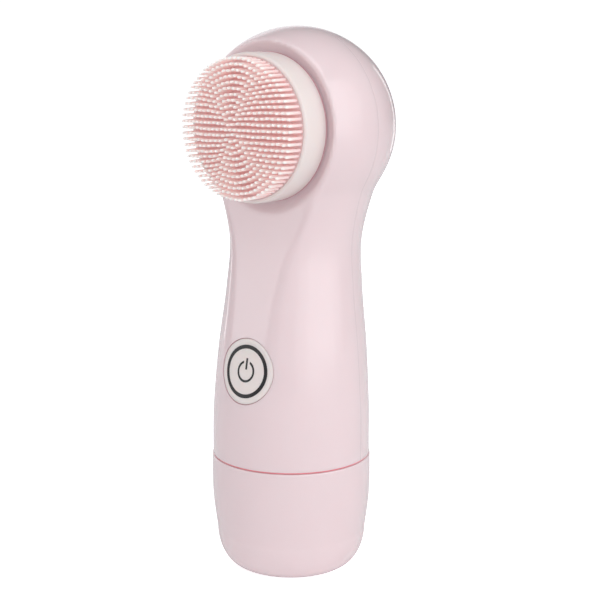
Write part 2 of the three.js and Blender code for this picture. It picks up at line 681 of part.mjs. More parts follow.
function motorCan() {
  const can = turnedY(
    [
      [0, MOTOR_FRONT_Y], [11.2, MOTOR_FRONT_Y], [MOTOR_R, MOTOR_FRONT_Y + 0.8],
      [MOTOR_R, MOTOR_BACK_Y], [10.8, MOTOR_BACK_Y], [10.8, 7], [0, 7],
    ],
    { sides: 28, z: AXIS_Z },
  );
  const bearing = barY(3, MOTOR_FRONT_Y - 1.2, 9.5, { sides: 20, z: AXIS_Z });
  return cut(
    join(can, bearing),
    barY(MOTOR_SHAFT_R + 0.2, 0, 12, { sides: 12, z: AXIS_Z }),
    ...[-1, 1].map((side) => barY(1.25, 0, 8, { sides: 8, x: side * MOTOR_SCREW_X, z: AXIS_Z })),
  );
}

const MOTOR_TERMINAL_X = 5;
const MOTOR_TERMINAL_Z = 140.5;

function motorEndBell() {
  const cap = turnedY(
    [[0, 26], [10.5, 26], [10.5, 27.3], [11.4, 27.3], [11.4, 28.6], [10.6, 29.4], [0, 29.4]],
    { sides: 24, z: AXIS_Z },
  );
  const terminals = [-1, 1].map((side) => {
    const x = side * MOTOR_TERMINAL_X;
    return block(
      [x - 1.2, 29, MOTOR_TERMINAL_Z - 0.3],
      [x + 1.2, 31.2, MOTOR_TERMINAL_Z + 0.3],
    );
  });
  return join(cap, barY(3, 29, 30.6, { sides: 16, z: AXIS_Z }), ...terminals);
}

// ---------------------------------------------------------------- brush head

function brushHub() {
  const plateBack = -18.9;
  const rim = turnedY(
    [
      [0, -20.3], [PAD_R + 0.2, -20.3], [PAD_R + 0.2, HUB_FRONT_Y], [HUB_R - 0.7, HUB_FRONT_Y],
      [HUB_R, -20.9], [HUB_R, SKIRT_BACK_Y - 0.3], [HUB_R - 0.3, SKIRT_BACK_Y],
      [HUB_R - HUB_WALL, SKIRT_BACK_Y],
      [HUB_R - HUB_WALL, plateBack], [0, plateBack],
    ],
    { sides: 36, z: AXIS_Z },
  );
  const boss = barY(5.4, plateBack - 0.5, HUB_BACK_Y - 0.1, { sides: 16, z: AXIS_Z });
  const rib = block([5, plateBack - 0.5, -0.6], [HUB_R - 1, -16.2, 0.6]);
  const ribs = [0, 1, 2, 3, 4, 5].map((i) => rib.rotate([0, i * 60, 0]).translate([0, 0, AXIS_Z]));
  return cut(
    join(rim, boss, ...ribs),
    plateY(hexOutline(HEX_FLATS + 0.4), SPINDLE_FRONT_Y - 0.4, 0, { z: AXIS_Z }),
    pipeY(4.7, 8, -15.6, -14.4, { z: AXIS_Z }),
  );
}

// Steel spring ring round the hub's boss: it grips the spindle's groove.
function hubClip() {
  const ring = pipeY(4.85, 5.6, -15.5, -14.5, { z: AXIS_Z });
  return cut(ring, block([-1.2, -20, AXIS_Z], [1.2, -10, AXIS_Z + 10]));
}

// The moulded silicone pad: its base skin, and the space that its soft bristles fill.
function siliconePad() {
  const profile = [[0, -20.5], [PAD_R, -20.5], [PAD_R, -21.8], [TIP_R, -22.1]];
  const rings = 4;
  for (let i = rings; i >= 0; i--) {
    const r = (TIP_R * i) / rings;
    profile.push([r, TIP_CENTRE_Y + (TIP_EDGE_Y - TIP_CENTRE_Y) * (r / TIP_R) ** 2]);
  }
  return turnedY(profile, { sides: 30, z: AXIS_Z });
}

// ---------------------------------------------------------------- button and electronics

// The button's face follows the handle's surface, so it lies flush.
function buttonCap() {
  const skin = cut(
    bodyForm({ inset: 0.05, low: 50 }),
    bodyForm({ inset: BUTTON_T, low: 49, sides: 24 }),
  );
  const disc = skin.intersect(barY(BUTTON_R, -40, -15, { sides: 28, z: BUTTON_Z }));
  const stem = barY(2.2, -23, -17.8, { sides: 12, z: BUTTON_Z });
  return join(disc, stem);
}

// Behind the button a soft membrane keeps water out.
function buttonGasket() {
  const front = BUTTON_BOSS_BACK_Y + 0.1;
  const back = front + MEMBRANE_T;
  const profile = [[2.6, front], [MEMBRANE_R, front], [MEMBRANE_R, back], [2.6, back]];
  return turnedY(profile, { sides: 28, z: BUTTON_Z });
}

const circuitBoard = () =>
  cut(
    block([-9, BOARD_FRONT_Y, BOARD_LOW_Z], [9, BOARD_FRONT_Y + BOARD_T, BOARD_HIGH_Z]),
    ...BOARD_MOUNTS.map(([x, z]) => barY(1.25, -20, 0, { sides: 8, x, z })),
  );

const SWITCH_TOP_Y = -16.7;
const switchBody = () =>
  cut(
    block([-3, SWITCH_TOP_Y, BUTTON_Z - 3], [3, BOARD_FRONT_Y - 0.05, BUTTON_Z + 3]),
    barY(1.75, -20, -15.4, { sides: 14, z: BUTTON_Z }),
  );
const switchPlunger = () => barY(1.5, -17.25, -15.8, { sides: 14, z: BUTTON_Z });
const driverChip = () => {
  const back = BOARD_FRONT_Y + BOARD_T;
  return block([-5.5, back + 0.05, 78], [-1.5, back + 1.5, 83]);
};
const capacitor = () => barY(2.5, BOARD_FRONT_Y + BOARD_T + 0.05, -8.2, { sides: 16, x: 4.5, z: 80 });

// A round wire along points, closed at both ends.
function wire(points) {
  const path = new THREE.CatmullRomCurve3(points.map((p) => new THREE.Vector3(...p)));
  const sides = 6;
  const section = [];
  for (let i = 0; i < sides; i++) {
    const a = (TAU * i) / sides;
    section.push(new THREE.Vector2(0.6 * Math.cos(a), 0.6 * Math.sin(a)));
  }
  const steps = (points.length - 1) * 2;
  const extrude = { steps, extrudePath: path, bevelEnabled: false };
  return solid(new THREE.ExtrudeGeometry(new THREE.Shape(section), extrude));
}

const batteryWire = (side) =>
  wire([
    [side * CELL_X, TAB_Y, 69.5], [side * CELL_X, TAB_Y + 0.3, 71.5],
    [side * 7.2, -11.3, 74], [side * 7, -12.7, 75.4],
  ]);
const motorWire = (side) =>
  wire([
    [side * 3, -12.8, 91], [side * 3.6, -9, 94.5], [side * 6, -1, 102], [side * 9, 9, 111],
    [side * 9.5, 16.5, 120], [side * 8.5, 22.5, 127], [side * 7, 26.8, 132.5],
    [side * 5.7, 29.5, 136], [side * MOTOR_TERMINAL_X, 30.5, 139.6],
  ]);

// ---------------------------------------------------------------- assembly

const brush = new THREE.Group();

function add(name, made, material, group = brush) {
  const { numProp, vertProperties, triVerts } = made.getMesh();
  const positions = new Float32Array((vertProperties.length / numProp) * 3);
  for (let i = 0; i < positions.length / 3; i++)
    positions.set(vertProperties.subarray(i * numProp, i * numProp + 3), i * 3);
  const geometry = new THREE.BufferGeometry();
  geometry.setAttribute("position", new THREE.BufferAttribute(positions, 3));
  geometry.setIndex(new THREE.BufferAttribute(triVerts, 1));
  geometry.computeVertexNormals();
  const mesh = new THREE.Mesh(geometry, material);
  mesh.name = name;
  group.add(mesh);
}

const handle = new THREE.Group();
const { front, back } = shells();
add("front_shell", front, PINK_GLOSS, handle);
add("back_shell", back, PINK_GLOSS, handle);
add("cap_seal", capSeal(), SEAL_PINK, handle);
add("battery_sleeve", batterySleeve(), WHITE_PLASTIC, handle);
add("cell_1", cell(-CELL_X, -CELL_X, false), LABEL, handle);
add("cell_2", cell(-CELL_X, CELL_X, true), LABEL, handle);
add("cell_3", cell(CELL_X, CELL_X, false), LABEL, handle);
add("cell_4", cell(CELL_X, -CELL_X, true), LABEL, handle);
add("upper_bridge", upperBridge(), STEEL, handle);
add("upper_terminal_negative", upperTerminal(-1), STEEL, handle);
add("upper_terminal_positive", upperTerminal(1), STEEL, handle);
add("upper_spring_1", batterySpring(-CELL_X, -CELL_X, CONTACT_Z - 0.1, CELL_HIGH_Z + 0.1), STEEL, handle);
add("upper_spring_2", batterySpring(CELL_X, CELL_X, CONTACT_Z - 0.1, CELL_HIGH_Z + 0.1), STEEL, handle);
add("circuit_board", circuitBoard(), BOARD_GREEN, handle);
add("switch_body", switchBody(), BLACK, handle);
add("driver_chip", driverChip(), BLACK, handle);
add("capacitor", capacitor(), BLACK, handle);
BOARD_MOUNTS.forEach(([x, z], i) =>
  add(`board_screw_${i + 1}`, screwY(x, z, -13.3, -17.4), STEEL, handle),
);
add("battery_wire_red", batteryWire(1), RED, handle);
add("battery_wire_black", batteryWire(-1), BLACK, handle);
add("motor_wire_red", motorWire(1), RED, handle);
add("motor_wire_black", motorWire(-1), BLACK, handle);
add("button_gasket", buttonGasket(), SEAL_PINK, handle);
add("gearbox_front", gearboxFront(), WHITE_PLASTIC, handle);
add("gearbox_rear", gearboxRear(), WHITE_PLASTIC, handle);
GEARBOX_MOUNTS.forEach(([x, z], i) =>
  add(`gearbox_mount_screw_${i + 1}`, screwY(x, z, BOX_FRONT_Y + 2.1, DISH_Y + 0.7), STEEL, handle),
);
[-1, 1].forEach((side, i) => {
  const headY = BOX_BACK_Y + 0.1;
  add(`gearbox_screw_${i + 1}`, screwY(side * EAR_X, EAR_Z, headY, -4.5), STEEL, handle);
  add(`motor_screw_${i + 1}`, screwY(side * MOTOR_SCREW_X, AXIS_Z, BOX_SPLIT_Y, 6.8), STEEL, handle);
});
add("idler_pin", idlerPin(), STEEL, handle);
add("spindle_bush", spindleBush(), BRASS, handle);
add("shaft_seal", shaftSeal(), BLACK, handle);
add("motor_can", motorCan(), STEEL, handle);
add("motor_end_bell", motorEndBell(), BLACK, handle);

const drive = new THREE.Group();
add("output_gear", outputGear(), NYLON, drive);
add("output_spindle", outputSpindle(), STEEL, drive);
add("idler_gear", idlerGear(), NYLON, drive);
add("motor_pinion", motorPinion(), BRASS, drive);
add("motor_shaft", motorShaft(), STEEL, drive);

const brushHead = new THREE.Group();
add("brush_hub", brushHub(), CREAM, brushHead);
add("silicone_pad", siliconePad(), SILICONE, brushHead);
add("hub_clip", hubClip(), STEEL, brushHead);

const button = new THREE.Group();
add("button_cap", buttonCap(), CREAM, button);
add("switch_plunger", switchPlunger(), BLACK, button);

const cap = new THREE.Group();
add("base_cap", baseCap(), PINK_GLOSS, cap);
add("bayonet_ring", bayonetRing(), WHITE_PLASTIC, cap);
add("contact_disc", contactDisc(), WHITE_PLASTIC, cap);
add("lower_bridge_1", lowerBridge(-1), STEEL, cap);
add("lower_bridge_2", lowerBridge(1), STEEL, cap);
add("lower_spring_1", batterySpring(-CELL_X, CELL_X, LOWER_PLATE_Z + 0.5, CELL_LOW_Z - 0.1), STEEL, cap);
add("lower_spring_2", batterySpring(CELL_X, -CELL_X, LOWER_PLATE_Z + 0.5, CELL_LOW_Z - 0.1), STEEL, cap);

brush.add(handle, drive, brushHead, button, cap);

export default brush;
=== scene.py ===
# %% [markdown]
# # A facial cleansing brush
# The real object is a battery handle, moulded in glossy pale pink plastic, with a ball-shaped head.
# A cream hub with a silicone bristle pad spins on the front of the head, a cream button sits flush
# in the handle, and the bottom is a twist-off battery cap.
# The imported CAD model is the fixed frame. Every piece below sits where the frame says, in metres,
# with +Z up and the brush facing -Y.

# %% Load the frame
import math
import random

import bpy
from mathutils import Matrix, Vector


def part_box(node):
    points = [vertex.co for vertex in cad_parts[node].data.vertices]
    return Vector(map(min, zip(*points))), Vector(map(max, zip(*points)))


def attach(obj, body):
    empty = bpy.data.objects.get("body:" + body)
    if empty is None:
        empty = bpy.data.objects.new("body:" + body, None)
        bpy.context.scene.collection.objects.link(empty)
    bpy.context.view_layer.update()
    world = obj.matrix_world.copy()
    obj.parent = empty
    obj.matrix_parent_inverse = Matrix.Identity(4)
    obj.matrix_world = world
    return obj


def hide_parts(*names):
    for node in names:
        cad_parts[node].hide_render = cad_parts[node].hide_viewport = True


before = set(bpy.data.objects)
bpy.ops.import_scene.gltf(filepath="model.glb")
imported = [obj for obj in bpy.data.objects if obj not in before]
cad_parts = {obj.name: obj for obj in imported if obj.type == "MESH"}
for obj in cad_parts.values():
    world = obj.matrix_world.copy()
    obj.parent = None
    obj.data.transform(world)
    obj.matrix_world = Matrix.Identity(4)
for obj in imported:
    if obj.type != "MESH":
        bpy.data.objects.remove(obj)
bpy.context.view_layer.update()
print("CAD nodes:", len(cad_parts))

# %% [markdown]
# ## Dimensions
# The driving sizes of the body are the same as in the CAD model. They are kept in millimetres,
# because that is how a moulding is drawn, and multiplied by MM where a mesh needs metres.

# %% Driving dimensions
MM = 0.001
WALL = 2.4
SEAM_Z = 38
SEAM_STEP = 0.25
CAP_TOP_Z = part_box("base_cap")[1].z / MM
SHELL_LOW_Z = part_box("front_shell")[0].z / MM
FOOT_R = 18.4
FOOT_TOP_Z = 12
FOOT_ROUNDNESS = 1.86
HANDLE_PROFILE = [
    (12, 25.0), (24, 26.4), (37.4, 26.5), (55, 26.0),
    (75, 24.6), (95, 22.4), (112, 21.8), (135, 27.3),
]
HEAD_R = 31.4
HEAD_RZ = 32
HEAD_Z = 146.5
HEAD_BLEND = 1.8
HEAD_SHIFT = 3.5
HEAD_DEPTH = 1.05
HEAD_TOP_Z = HEAD_Z + HEAD_RZ
FACE_Y = -12.9
SCOOP_PROFILE = [
    (60, -26.5), (70, -23.4), (81, -21.2), (93, -18.7), (104, -16.3), (113, -14.1), (121, FACE_Y),
]
SCOOP_BLEND = 2.6
SHELL_SPLIT_Y = 4.5
AXIS_Z = 147
DISH_Y = -11.0
DISH_FLOOR_R, DISH_RIM_R = 23.9, 27.6
BUTTON_Z = 69.8
TAU = math.tau
print("cap top", round(CAP_TOP_Z, 2), "shell bottom", round(SHELL_LOW_Z, 2))

# %% [markdown]
# ## Form of the body
# The handle is a waisted turning, the head a near-round ball set a little back, and a flat face with
# a scoop below it is cut across the front. One formula gives every point of that skin, so the
# shells, the cap and the button all lie on exactly the same surface and reflections run on
# smoothly from one to the next.


# %% The body's formula
def smooth(t):
    c = min(1.0, max(0.0, t))
    return c * c * (3 - 2 * c)


def through(stations, at):
    """A smooth curve through (position, value) stations."""
    last = len(stations) - 1
    if at <= stations[0][0]:
        return stations[0][1]
    if at >= stations[last][0]:
        return stations[last][1]

    def slope(i):
        a, b = stations[max(0, i - 1)], stations[min(last, i + 1)]
        return (b[1] - a[1]) / (b[0] - a[0])

    i = max(k for k in range(last) if stations[k][0] <= at)
    (x0, y0), (x1, y1) = stations[i], stations[i + 1]
    h = x1 - x0
    t = (at - x0) / h
    return (
        y0 * (1 + 2 * t) * (1 - t) ** 2
        + y1 * t * t * (3 - 2 * t)
        + h * t * (1 - t) * (slope(i) * (1 - t) - slope(i + 1) * t)
    )


def soft_max(a, b, k):
    return max(a, b) + (max(k - abs(a - b), 0) / k) ** 3 * k / 6


def half_width(z):
    """Half-width of the body at a height."""
    if z < FOOT_TOP_Z:
        s = (FOOT_TOP_Z - z) / FOOT_TOP_Z
        corner = max(0.0, 1 - s**FOOT_ROUNDNESS) ** (1 / FOOT_ROUNDNESS)
        return FOOT_R + (HANDLE_PROFILE[0][1] - FOOT_R) * corner
    ball = HEAD_R * math.sqrt(max(0.0, 1 - ((z - HEAD_Z) / HEAD_RZ) ** 2))
    if z >= HEAD_Z:
        return ball
    step = 0 if z < SEAM_Z else SEAM_STEP * (1 - smooth((z - SEAM_Z) / 17))
    return soft_max(through(HANDLE_PROFILE, z) - step, ball, HEAD_BLEND)


def section(z):
    """Half-width, half-depth and centre of the body's section, and where its front is cut."""
    a = half_width(z)
    b = a * (1 + (HEAD_DEPTH - 1) * smooth((z - 100) / (HEAD_Z - 100)))
    centre = HEAD_SHIFT * smooth((z - 40) / (HEAD_Z - 40))
    front = through(SCOOP_PROFILE, z) if z > SCOOP_PROFILE[0][0] else -60
    return a, b, centre, front


def body_point(angle, z):
    """A point on the skin, in millimetres: angle 0 is the front, 90 degrees is +X."""
    a, b, centre, front = section(z)
    c, s = math.cos(angle), math.sin(angle)
    r = a * b / max(1e-9, math.hypot(b * s, a * c))
    if c > 0.02:
        r = -soft_max(-r, -(centre - front) / c, SCOOP_BLEND)
    return Vector((r * s, centre - r * c, z))


def dished(point):
    """Sinks the part of the face round the brush's axis into a soft dish."""
    if point.y > DISH_Y or point.z < AXIS_Z - DISH_RIM_R:
        return point
    out = math.hypot(point.x, point.z - AXIS_Z)
    sunk = 1 - smooth((out - DISH_FLOOR_R) / (DISH_RIM_R - DISH_FLOOR_R))
    point.y += (DISH_Y - point.y) * sunk
    return point


def front_y(x, z):
    """Where the skin's front lies at a place in front view, in millimetres."""
    angle = math.atan2(x, 24)
    for _ in range(12):
        p = body_point(angle, z)
        angle += (x - p.x) / max(8.0, abs(p.y) + 4)
    return body_point(angle, z).y


print("front at the button", round(front_y(0, BUTTON_Z), 2), "widest", round(half_width(HEAD_Z), 2))

# %% [markdown]
# ## Bench tools
# These helpers do what a hand would do in the viewport: select one object, step into edit mode,
# run an operator, apply a modifier. Each finished piece then rides on its CAD body and stands for
# its CAD node.


# %% Helpers for selecting and editing
def only(obj):
    bpy.ops.object.select_all(action="DESELECT")
    obj.select_set(True)
    bpy.context.view_layer.objects.active = obj


def edit(obj, *steps):
    """Runs operators on all of obj's mesh in edit mode."""
    only(obj)
    bpy.ops.object.mode_set(mode="EDIT")
    bpy.ops.mesh.select_all(action="SELECT")
    for step in steps:
        step()
    bpy.ops.object.mode_set(mode="OBJECT")


def merge_doubles(distance=1e-6):
    return lambda: bpy.ops.mesh.remove_doubles(threshold=distance)


def normals_out():
    bpy.ops.mesh.normals_make_consistent(inside=False)


def modify(obj, kind, **settings):
    """Adds a modifier to a piece and applies it."""
    only(obj)
    modifier = obj.modifiers.new(kind.lower(), kind)
    for key, value in settings.items():
        setattr(modifier, key, value)
    bpy.ops.object.modifier_apply(modifier=modifier.name)


def soften(obj, width, segments=2, angle=40):
    """Rounds the edges that are sharper than an angle."""
    modify(
        obj, "BEVEL", width=width, segments=segments, limit_method="ANGLE",
        angle_limit=math.radians(angle), harden_normals=False,
    )


def shade(obj, angle=32):
    only(obj)
    bpy.ops.object.shade_smooth_by_angle(angle=math.radians(angle))


def place_in_mesh(obj):
    only(obj)
    bpy.ops.object.transform_apply(location=True, rotation=True, scale=True)


def finished(obj, name, body, material, stands_for=()):
    """Names a piece, gives it its finish, and fixes it to its body."""
    obj.name = name
    obj.data.name = name
    obj.data.materials.clear()
    obj.data.materials.append(material)
    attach(obj, body)
    if stands_for:
        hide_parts(*stands_for)
    print(name, len(obj.data.polygons), "faces on", body)
    return obj


# %% Helpers that make the common shapes
def subtract(obj, *cutters):
    """Cuts other objects out of a piece, then throws the cutters away."""
    for cutter in cutters:
        modify(obj, "BOOLEAN", operation="DIFFERENCE", solver="EXACT", object=cutter)
        bpy.data.objects.remove(cutter)


def cylinder(radius, low, high, axis="Y", x=0, y=0, z=0, sides=64):
    """A capped cylinder primitive, in millimetres, along Y or Z."""
    middle = (low + high) / 2
    turn = (math.pi / 2, 0, 0) if axis == "Y" else (0, 0, 0)
    at = (x, middle, z) if axis == "Y" else (x, y, middle)
    bpy.ops.mesh.primitive_cylinder_add(
        vertices=sides, radius=radius * MM, depth=(high - low) * MM,
        location=[c * MM for c in at], rotation=turn,
    )
    made = bpy.context.active_object
    place_in_mesh(made)
    return made


def brick(low, high):
    """A box primitive between two corners, in millimetres."""
    size = [(h - l) * MM for l, h in zip(low, high)]
    middle = [(h + l) / 2 * MM for l, h in zip(low, high)]
    bpy.ops.mesh.primitive_cube_add(size=1, location=middle)
    made = bpy.context.active_object
    made.scale = size
    place_in_mesh(made)
    return made


def turned(profile, axis="Y", x=0, y=0, z=0, steps=96, rounding=0.2):
    """Turns a profile of (radius, height) points, in millimetres, once round an axis.

    A profile that starts off the axis is closed into a ring first."""
    bpy.ops.mesh.primitive_plane_add(size=MM, location=(0, 0, 0))
    made = bpy.context.active_object
    bpy.ops.object.mode_set(mode="EDIT")
    bpy.ops.mesh.select_all(action="SELECT")
    bpy.ops.mesh.merge(type="CENTER")
    first = profile[0]
    bpy.ops.transform.translate(value=(first[0] * MM, 0, first[1] * MM))
    for (r0, h0), (r1, h1) in zip(profile, profile[1:]):
        move = {"value": ((r1 - r0) * MM, 0, (h1 - h0) * MM)}
        bpy.ops.mesh.extrude_region_move(TRANSFORM_OT_translate=move)
    bpy.ops.mesh.select_all(action="SELECT")
    if profile[0][0] > 0:
        bpy.ops.mesh.edge_face_add()
        bpy.ops.mesh.delete(type="ONLY_FACE")
        bpy.ops.mesh.select_all(action="SELECT")
    bpy.ops.mesh.spin(steps=steps, angle=TAU, center=(0, 0, 0), axis=(0, 0, 1))
    bpy.ops.mesh.select_all(action="SELECT")
    bpy.ops.mesh.remove_doubles(threshold=1e-6)
    bpy.ops.mesh.normals_make_consistent(inside=False)
    bpy.ops.object.mode_set(mode="OBJECT")
    if axis == "Y":  # the profile's height runs along +Y
        made.rotation_euler = (-math.pi / 2, 0, 0)
    made.location = (x * MM, y * MM, z * MM)
    place_in_mesh(made)
    if rounding:
        soften(made, rounding * MM)
    shade(made)
    return made


# %% [markdown]
# ## Finishes
# Every finish is a small node tree: a colour that drifts a little, a roughness that is never quite
# even, and a fine bump. Patterns read Object coordinates, which are the frame's metres, so a scale
# of 1000 gives features about a millimetre across. The pink plastic also has a faint lavender glow
# in its emission. That glow is painted light: it lifts the plastic's shadows towards lavender, in place
# of the light that wanders about inside a pale, thick wall.


# %% Material helper
def finish(name, colour, roughness, metallic=0.0, drift=0.04, drift_scale=60.0,
           rough_drift=0.05, bump=0.02, bump_scale=2500.0, bump_depth=0.00002, stretch=(1, 1, 1), **shader):
    """A Principled finish with a drifting colour, uneven roughness and a fine bump."""
    material = bpy.data.materials.new(name)
    material.use_nodes = True
    nodes, links = material.node_tree.nodes, material.node_tree.links
    bsdf = nodes["Principled BSDF"]
    bsdf.inputs["Metallic"].default_value = metallic
    for key, value in shader.items():
        bsdf.inputs[key.replace("_", " ")].default_value = value
    coords = nodes.new("ShaderNodeTexCoord")
    mapping = nodes.new("ShaderNodeMapping")
    mapping.inputs["Scale"].default_value = stretch
    links.new(coords.outputs["Object"], mapping.inputs["Vector"])

    broad = nodes.new("ShaderNodeTexNoise")
    broad.inputs["Scale"].default_value = drift_scale
    broad.inputs["Detail"].default_value = 3
    links.new(mapping.outputs["Vector"], broad.inputs["Vector"])
    ramp = nodes.new("ShaderNodeValToRGB")
    ramp.color_ramp.elements[0].position = 0.3
    ramp.color_ramp.elements[1].position = 0.7
    ramp.color_ramp.elements[0].color = [c * (1 - drift) for c in colour] + [1]
    ramp.color_ramp.elements[1].color = [min(1, c * (1 + drift)) for c in colour] + [1]
    links.new(broad.outputs["Fac"], ramp.inputs["Fac"])
    links.new(ramp.outputs["Color"], bsdf.inputs["Base Color"])

    spread = nodes.new("ShaderNodeMapRange")
    spread.inputs["To Min"].default_value = max(0.02, roughness - rough_drift)
    spread.inputs["To Max"].default_value = roughness + rough_drift
    links.new(broad.outputs["Fac"], spread.inputs["Value"])
    links.new(spread.outputs["Result"], bsdf.inputs["Roughness"])

    fine = nodes.new("ShaderNodeTexNoise")
    fine.inputs["Scale"].default_value = bump_scale
    fine.inputs["Detail"].default_value = 2
    links.new(mapping.outputs["Vector"], fine.inputs["Vector"])
    raise_it = nodes.new("ShaderNodeBump")
    raise_it.inputs["Strength"].default_value = bump
    raise_it.inputs["Distance"].default_value = bump_depth
    links.new(fine.outputs["Fac"], raise_it.inputs["Height"])
    links.new(raise_it.outputs["Normal"], bsdf.inputs["Normal"])
    return material


# %% The finishes
PINK = (0.775, 0.635, 0.645)
pink_gloss = finish(
    "pink_gloss_plastic", PINK, 0.2, drift=0.012, drift_scale=22, rough_drift=0.03,
    bump=0.02, bump_scale=700, Coat_Weight=0.8, Coat_Roughness=0.06,
    Subsurface_Weight=0.2, Subsurface_Radius=(0.005, 0.003, 0.003), Subsurface_Scale=1.0,
    # Emission: a faint painted lavender glow that lifts the plastic's shadows; the plastic is no lamp.
    Emission_Color=(0.85, 0.58, 0.74, 1), Emission_Strength=0.05,
)
cream_satin = finish(
    "cream_satin_plastic", (0.83, 0.745, 0.72), 0.38, drift=0.012, drift_scale=40,
    bump=0.05, bump_scale=3000,
    Subsurface_Weight=0.2, Subsurface_Radius=(0.004, 0.002, 0.0015), Subsurface_Scale=1.0,
)
# Saturated seal pink: partly the seal's rubber, partly painted shade that draws the shaded seam between cap
# and handle.
seal_pink_and_seam_shade = finish("pink_seal_rubber_and_seam_shade", (0.90, 0.27, 0.31), 0.5, bump=0.1)
# Dusty pink, darker than the body: painted shade for the fine lines in the slit round the button and at the
# hub's back edge.
lip_pink_painted_shade = finish("dusty_pink_rubber_painted_shade", (0.60, 0.33, 0.37), 0.55, bump=0.1)
black_rubber = finish("black_nitrile", (0.02, 0.02, 0.02), 0.6, bump=0.15)
print("finishes so far:", len(bpy.data.materials))

# %% [markdown]
# ## Camera, floor and light
# The brush is seen from its right front, a little from above, through a long lens. A pale floor and
# big soft lamps give a gloss plastic the long soft streaks that show its shape.

# %% Camera
AZIMUTH, ELEVATION = 38.4, 11.1  # degrees round from the front, and above the horizon
DISTANCE = 0.4386
TARGET = Vector((0.0038, 0.0, 0.090))


def direction(azimuth, elevation):
    """The unit vector from the object towards a place round it."""
    a, e = math.radians(azimuth), math.radians(elevation)
    return Vector((math.sin(a) * math.cos(e), -math.cos(a) * math.cos(e), math.sin(e)))


def aimed(azimuth, elevation, distance):
    """A location and a rotation that looks back at the object."""
    away = direction(azimuth, elevation)
    return {
        "location": TARGET + distance * away,
        "rotation": away.to_track_quat("Z", "Y").to_euler(),
    }


bpy.ops.object.camera_add(**aimed(AZIMUTH, ELEVATION, DISTANCE))
camera = bpy.context.active_object
camera.name = "camera"
camera.data.lens = 80
camera.data.sensor_width = 36
bpy.context.scene.camera = camera
bpy.context.scene.view_settings.view_transform = "Standard"
print("camera at", [round(c, 3) for c in camera.location])

# %% [markdown]
# The floor is a plain white sweep. Its faint cloudiness keeps it from looking like a computer's
# perfect white. It glows a little for the camera alone, as an over-lit white sweep does, so the
# brush itself isn't washed out by it.

# %% Floor
bpy.ops.mesh.primitive_plane_add(size=12)
floor = bpy.context.active_object
floor.name = "studio_floor"
sweep = finish(
    "studio_white", (0.90, 0.90, 0.905), 0.7, drift=0.01, drift_scale=6, bump=0.01,
    Emission_Color=(1, 1, 1, 1),
)
nodes, links = sweep.node_tree.nodes, sweep.node_tree.links
path = nodes.new("ShaderNodeLightPath")
glow = nodes.new("ShaderNodeMath")
glow.operation = "MULTIPLY_ADD"
glow.inputs[1].default_value = 0.68
glow.inputs[2].default_value = 0.05
links.new(path.outputs["Is Camera Ray"], glow.inputs[0])
links.new(glow.outputs["Value"], nodes["Principled BSDF"].inputs["Emission Strength"])
floor.data.materials.append(sweep)
print("floor", [round(c, 2) for c in floor.dimensions])

# %% [markdown]
# The room is white to the eye. For reflections it is a tent: light in front, dark screens at both
# sides to draw the handle's edges, and a bright sheet right behind for the thin rim lines.

# %% Room
world = bpy.data.worlds.new("studio")
bpy.context.scene.world = world
world.use_nodes = True
nodes, links = world.node_tree.nodes, world.node_tree.links
tent = nodes["Background"]
white = nodes.new("ShaderNodeBackground")
white.inputs["Color"].default_value = (1, 1, 1, 1)
white.inputs["Strength"].default_value = 1.05
coords = nodes.new("ShaderNodeTexCoord")
facing = nodes.new("ShaderNodeVectorMath")
facing.operation = "DOT_PRODUCT"
facing.inputs[1].default_value = direction(AZIMUTH + 22, 0)
spread = nodes.new("ShaderNodeMapRange")
spread.inputs["From Min"].default_value = -1
panels = nodes.new("ShaderNodeValToRGB")
TENT = (  # place from behind to in front, brightness
    (0.0, 0.9), (0.05, 0.9), (0.09, 0.22), (0.34, 0.26), (0.50, 0.48), (0.75, 0.60), (1.0, 0.70),
)
panels.color_ramp.elements.remove(panels.color_ramp.elements[1])
for place, level in TENT[1:]:
    panels.color_ramp.elements.new(place)
for element, (place, level) in zip(panels.color_ramp.elements, TENT):
    element.position = place
    element.color = (level, level * 0.985, level * 1.01, 1)
path = nodes.new("ShaderNodeLightPath")
mix = nodes.new("ShaderNodeMixShader")
links.new(coords.outputs["Generated"], facing.inputs[0])
links.new(facing.outputs["Value"], spread.inputs["Value"])
links.new(spread.outputs["Result"], panels.inputs["Fac"])
links.new(panels.outputs["Color"], tent.inputs["Color"])
links.new(path.outputs["Is Camera Ray"], mix.inputs["Fac"])
links.new(tent.outputs["Background"], mix.inputs[1])
links.new(white.outputs["Background"], mix.inputs[2])
links.new(mix.outputs["Shader"], nodes["World Output"].inputs["Surface"])
print("room nodes:", len(nodes))

# %% [markdown]
# Six soft lamps. A broad panel to the right gives the wide light band, and a narrower one inside it
# makes the band fade out in steps instead of ending hard. A panel to the left lights the shaded
# side, one above fills the top of the ball, and two thin strips behind draw the fine bright lines
# along both edges.

# %% Lamps
LAMPS = (  # name, azimuth, elevation, distance, width, height, power
    ("wide_panel", AZIMUTH + 44, 16, 0.95, 1.55, 1.4, 4.2),
    ("inner_panel", AZIMUTH + 44, 14, 0.94, 0.80, 1.4, 1.7),
    ("left_panel", AZIMUTH - 80, 12, 0.95, 0.40, 1.3, 1.8),
    ("top_panel", AZIMUTH - 10, 68, 0.90, 0.80, 0.6, 1.7),
    ("left_line", AZIMUTH - 130, 3, 0.80, 0.08, 1.5, 0.9),
    ("right_line", AZIMUTH + 152, -6, 0.80, 0.06, 0.8, 0.2),
)
for name, azimuth, elevation, distance, width, tall, power in LAMPS:
    bpy.ops.object.light_add(type="AREA", **aimed(azimuth, elevation, distance))
    lamp = bpy.context.active_object
    lamp.name = name
    lamp.data.shape = "RECTANGLE"
    lamp.data.size, lamp.data.size_y = width, tall
    lamp.data.energy = power
    lamp.visible_camera = False
print("lamps:", len(LAMPS))

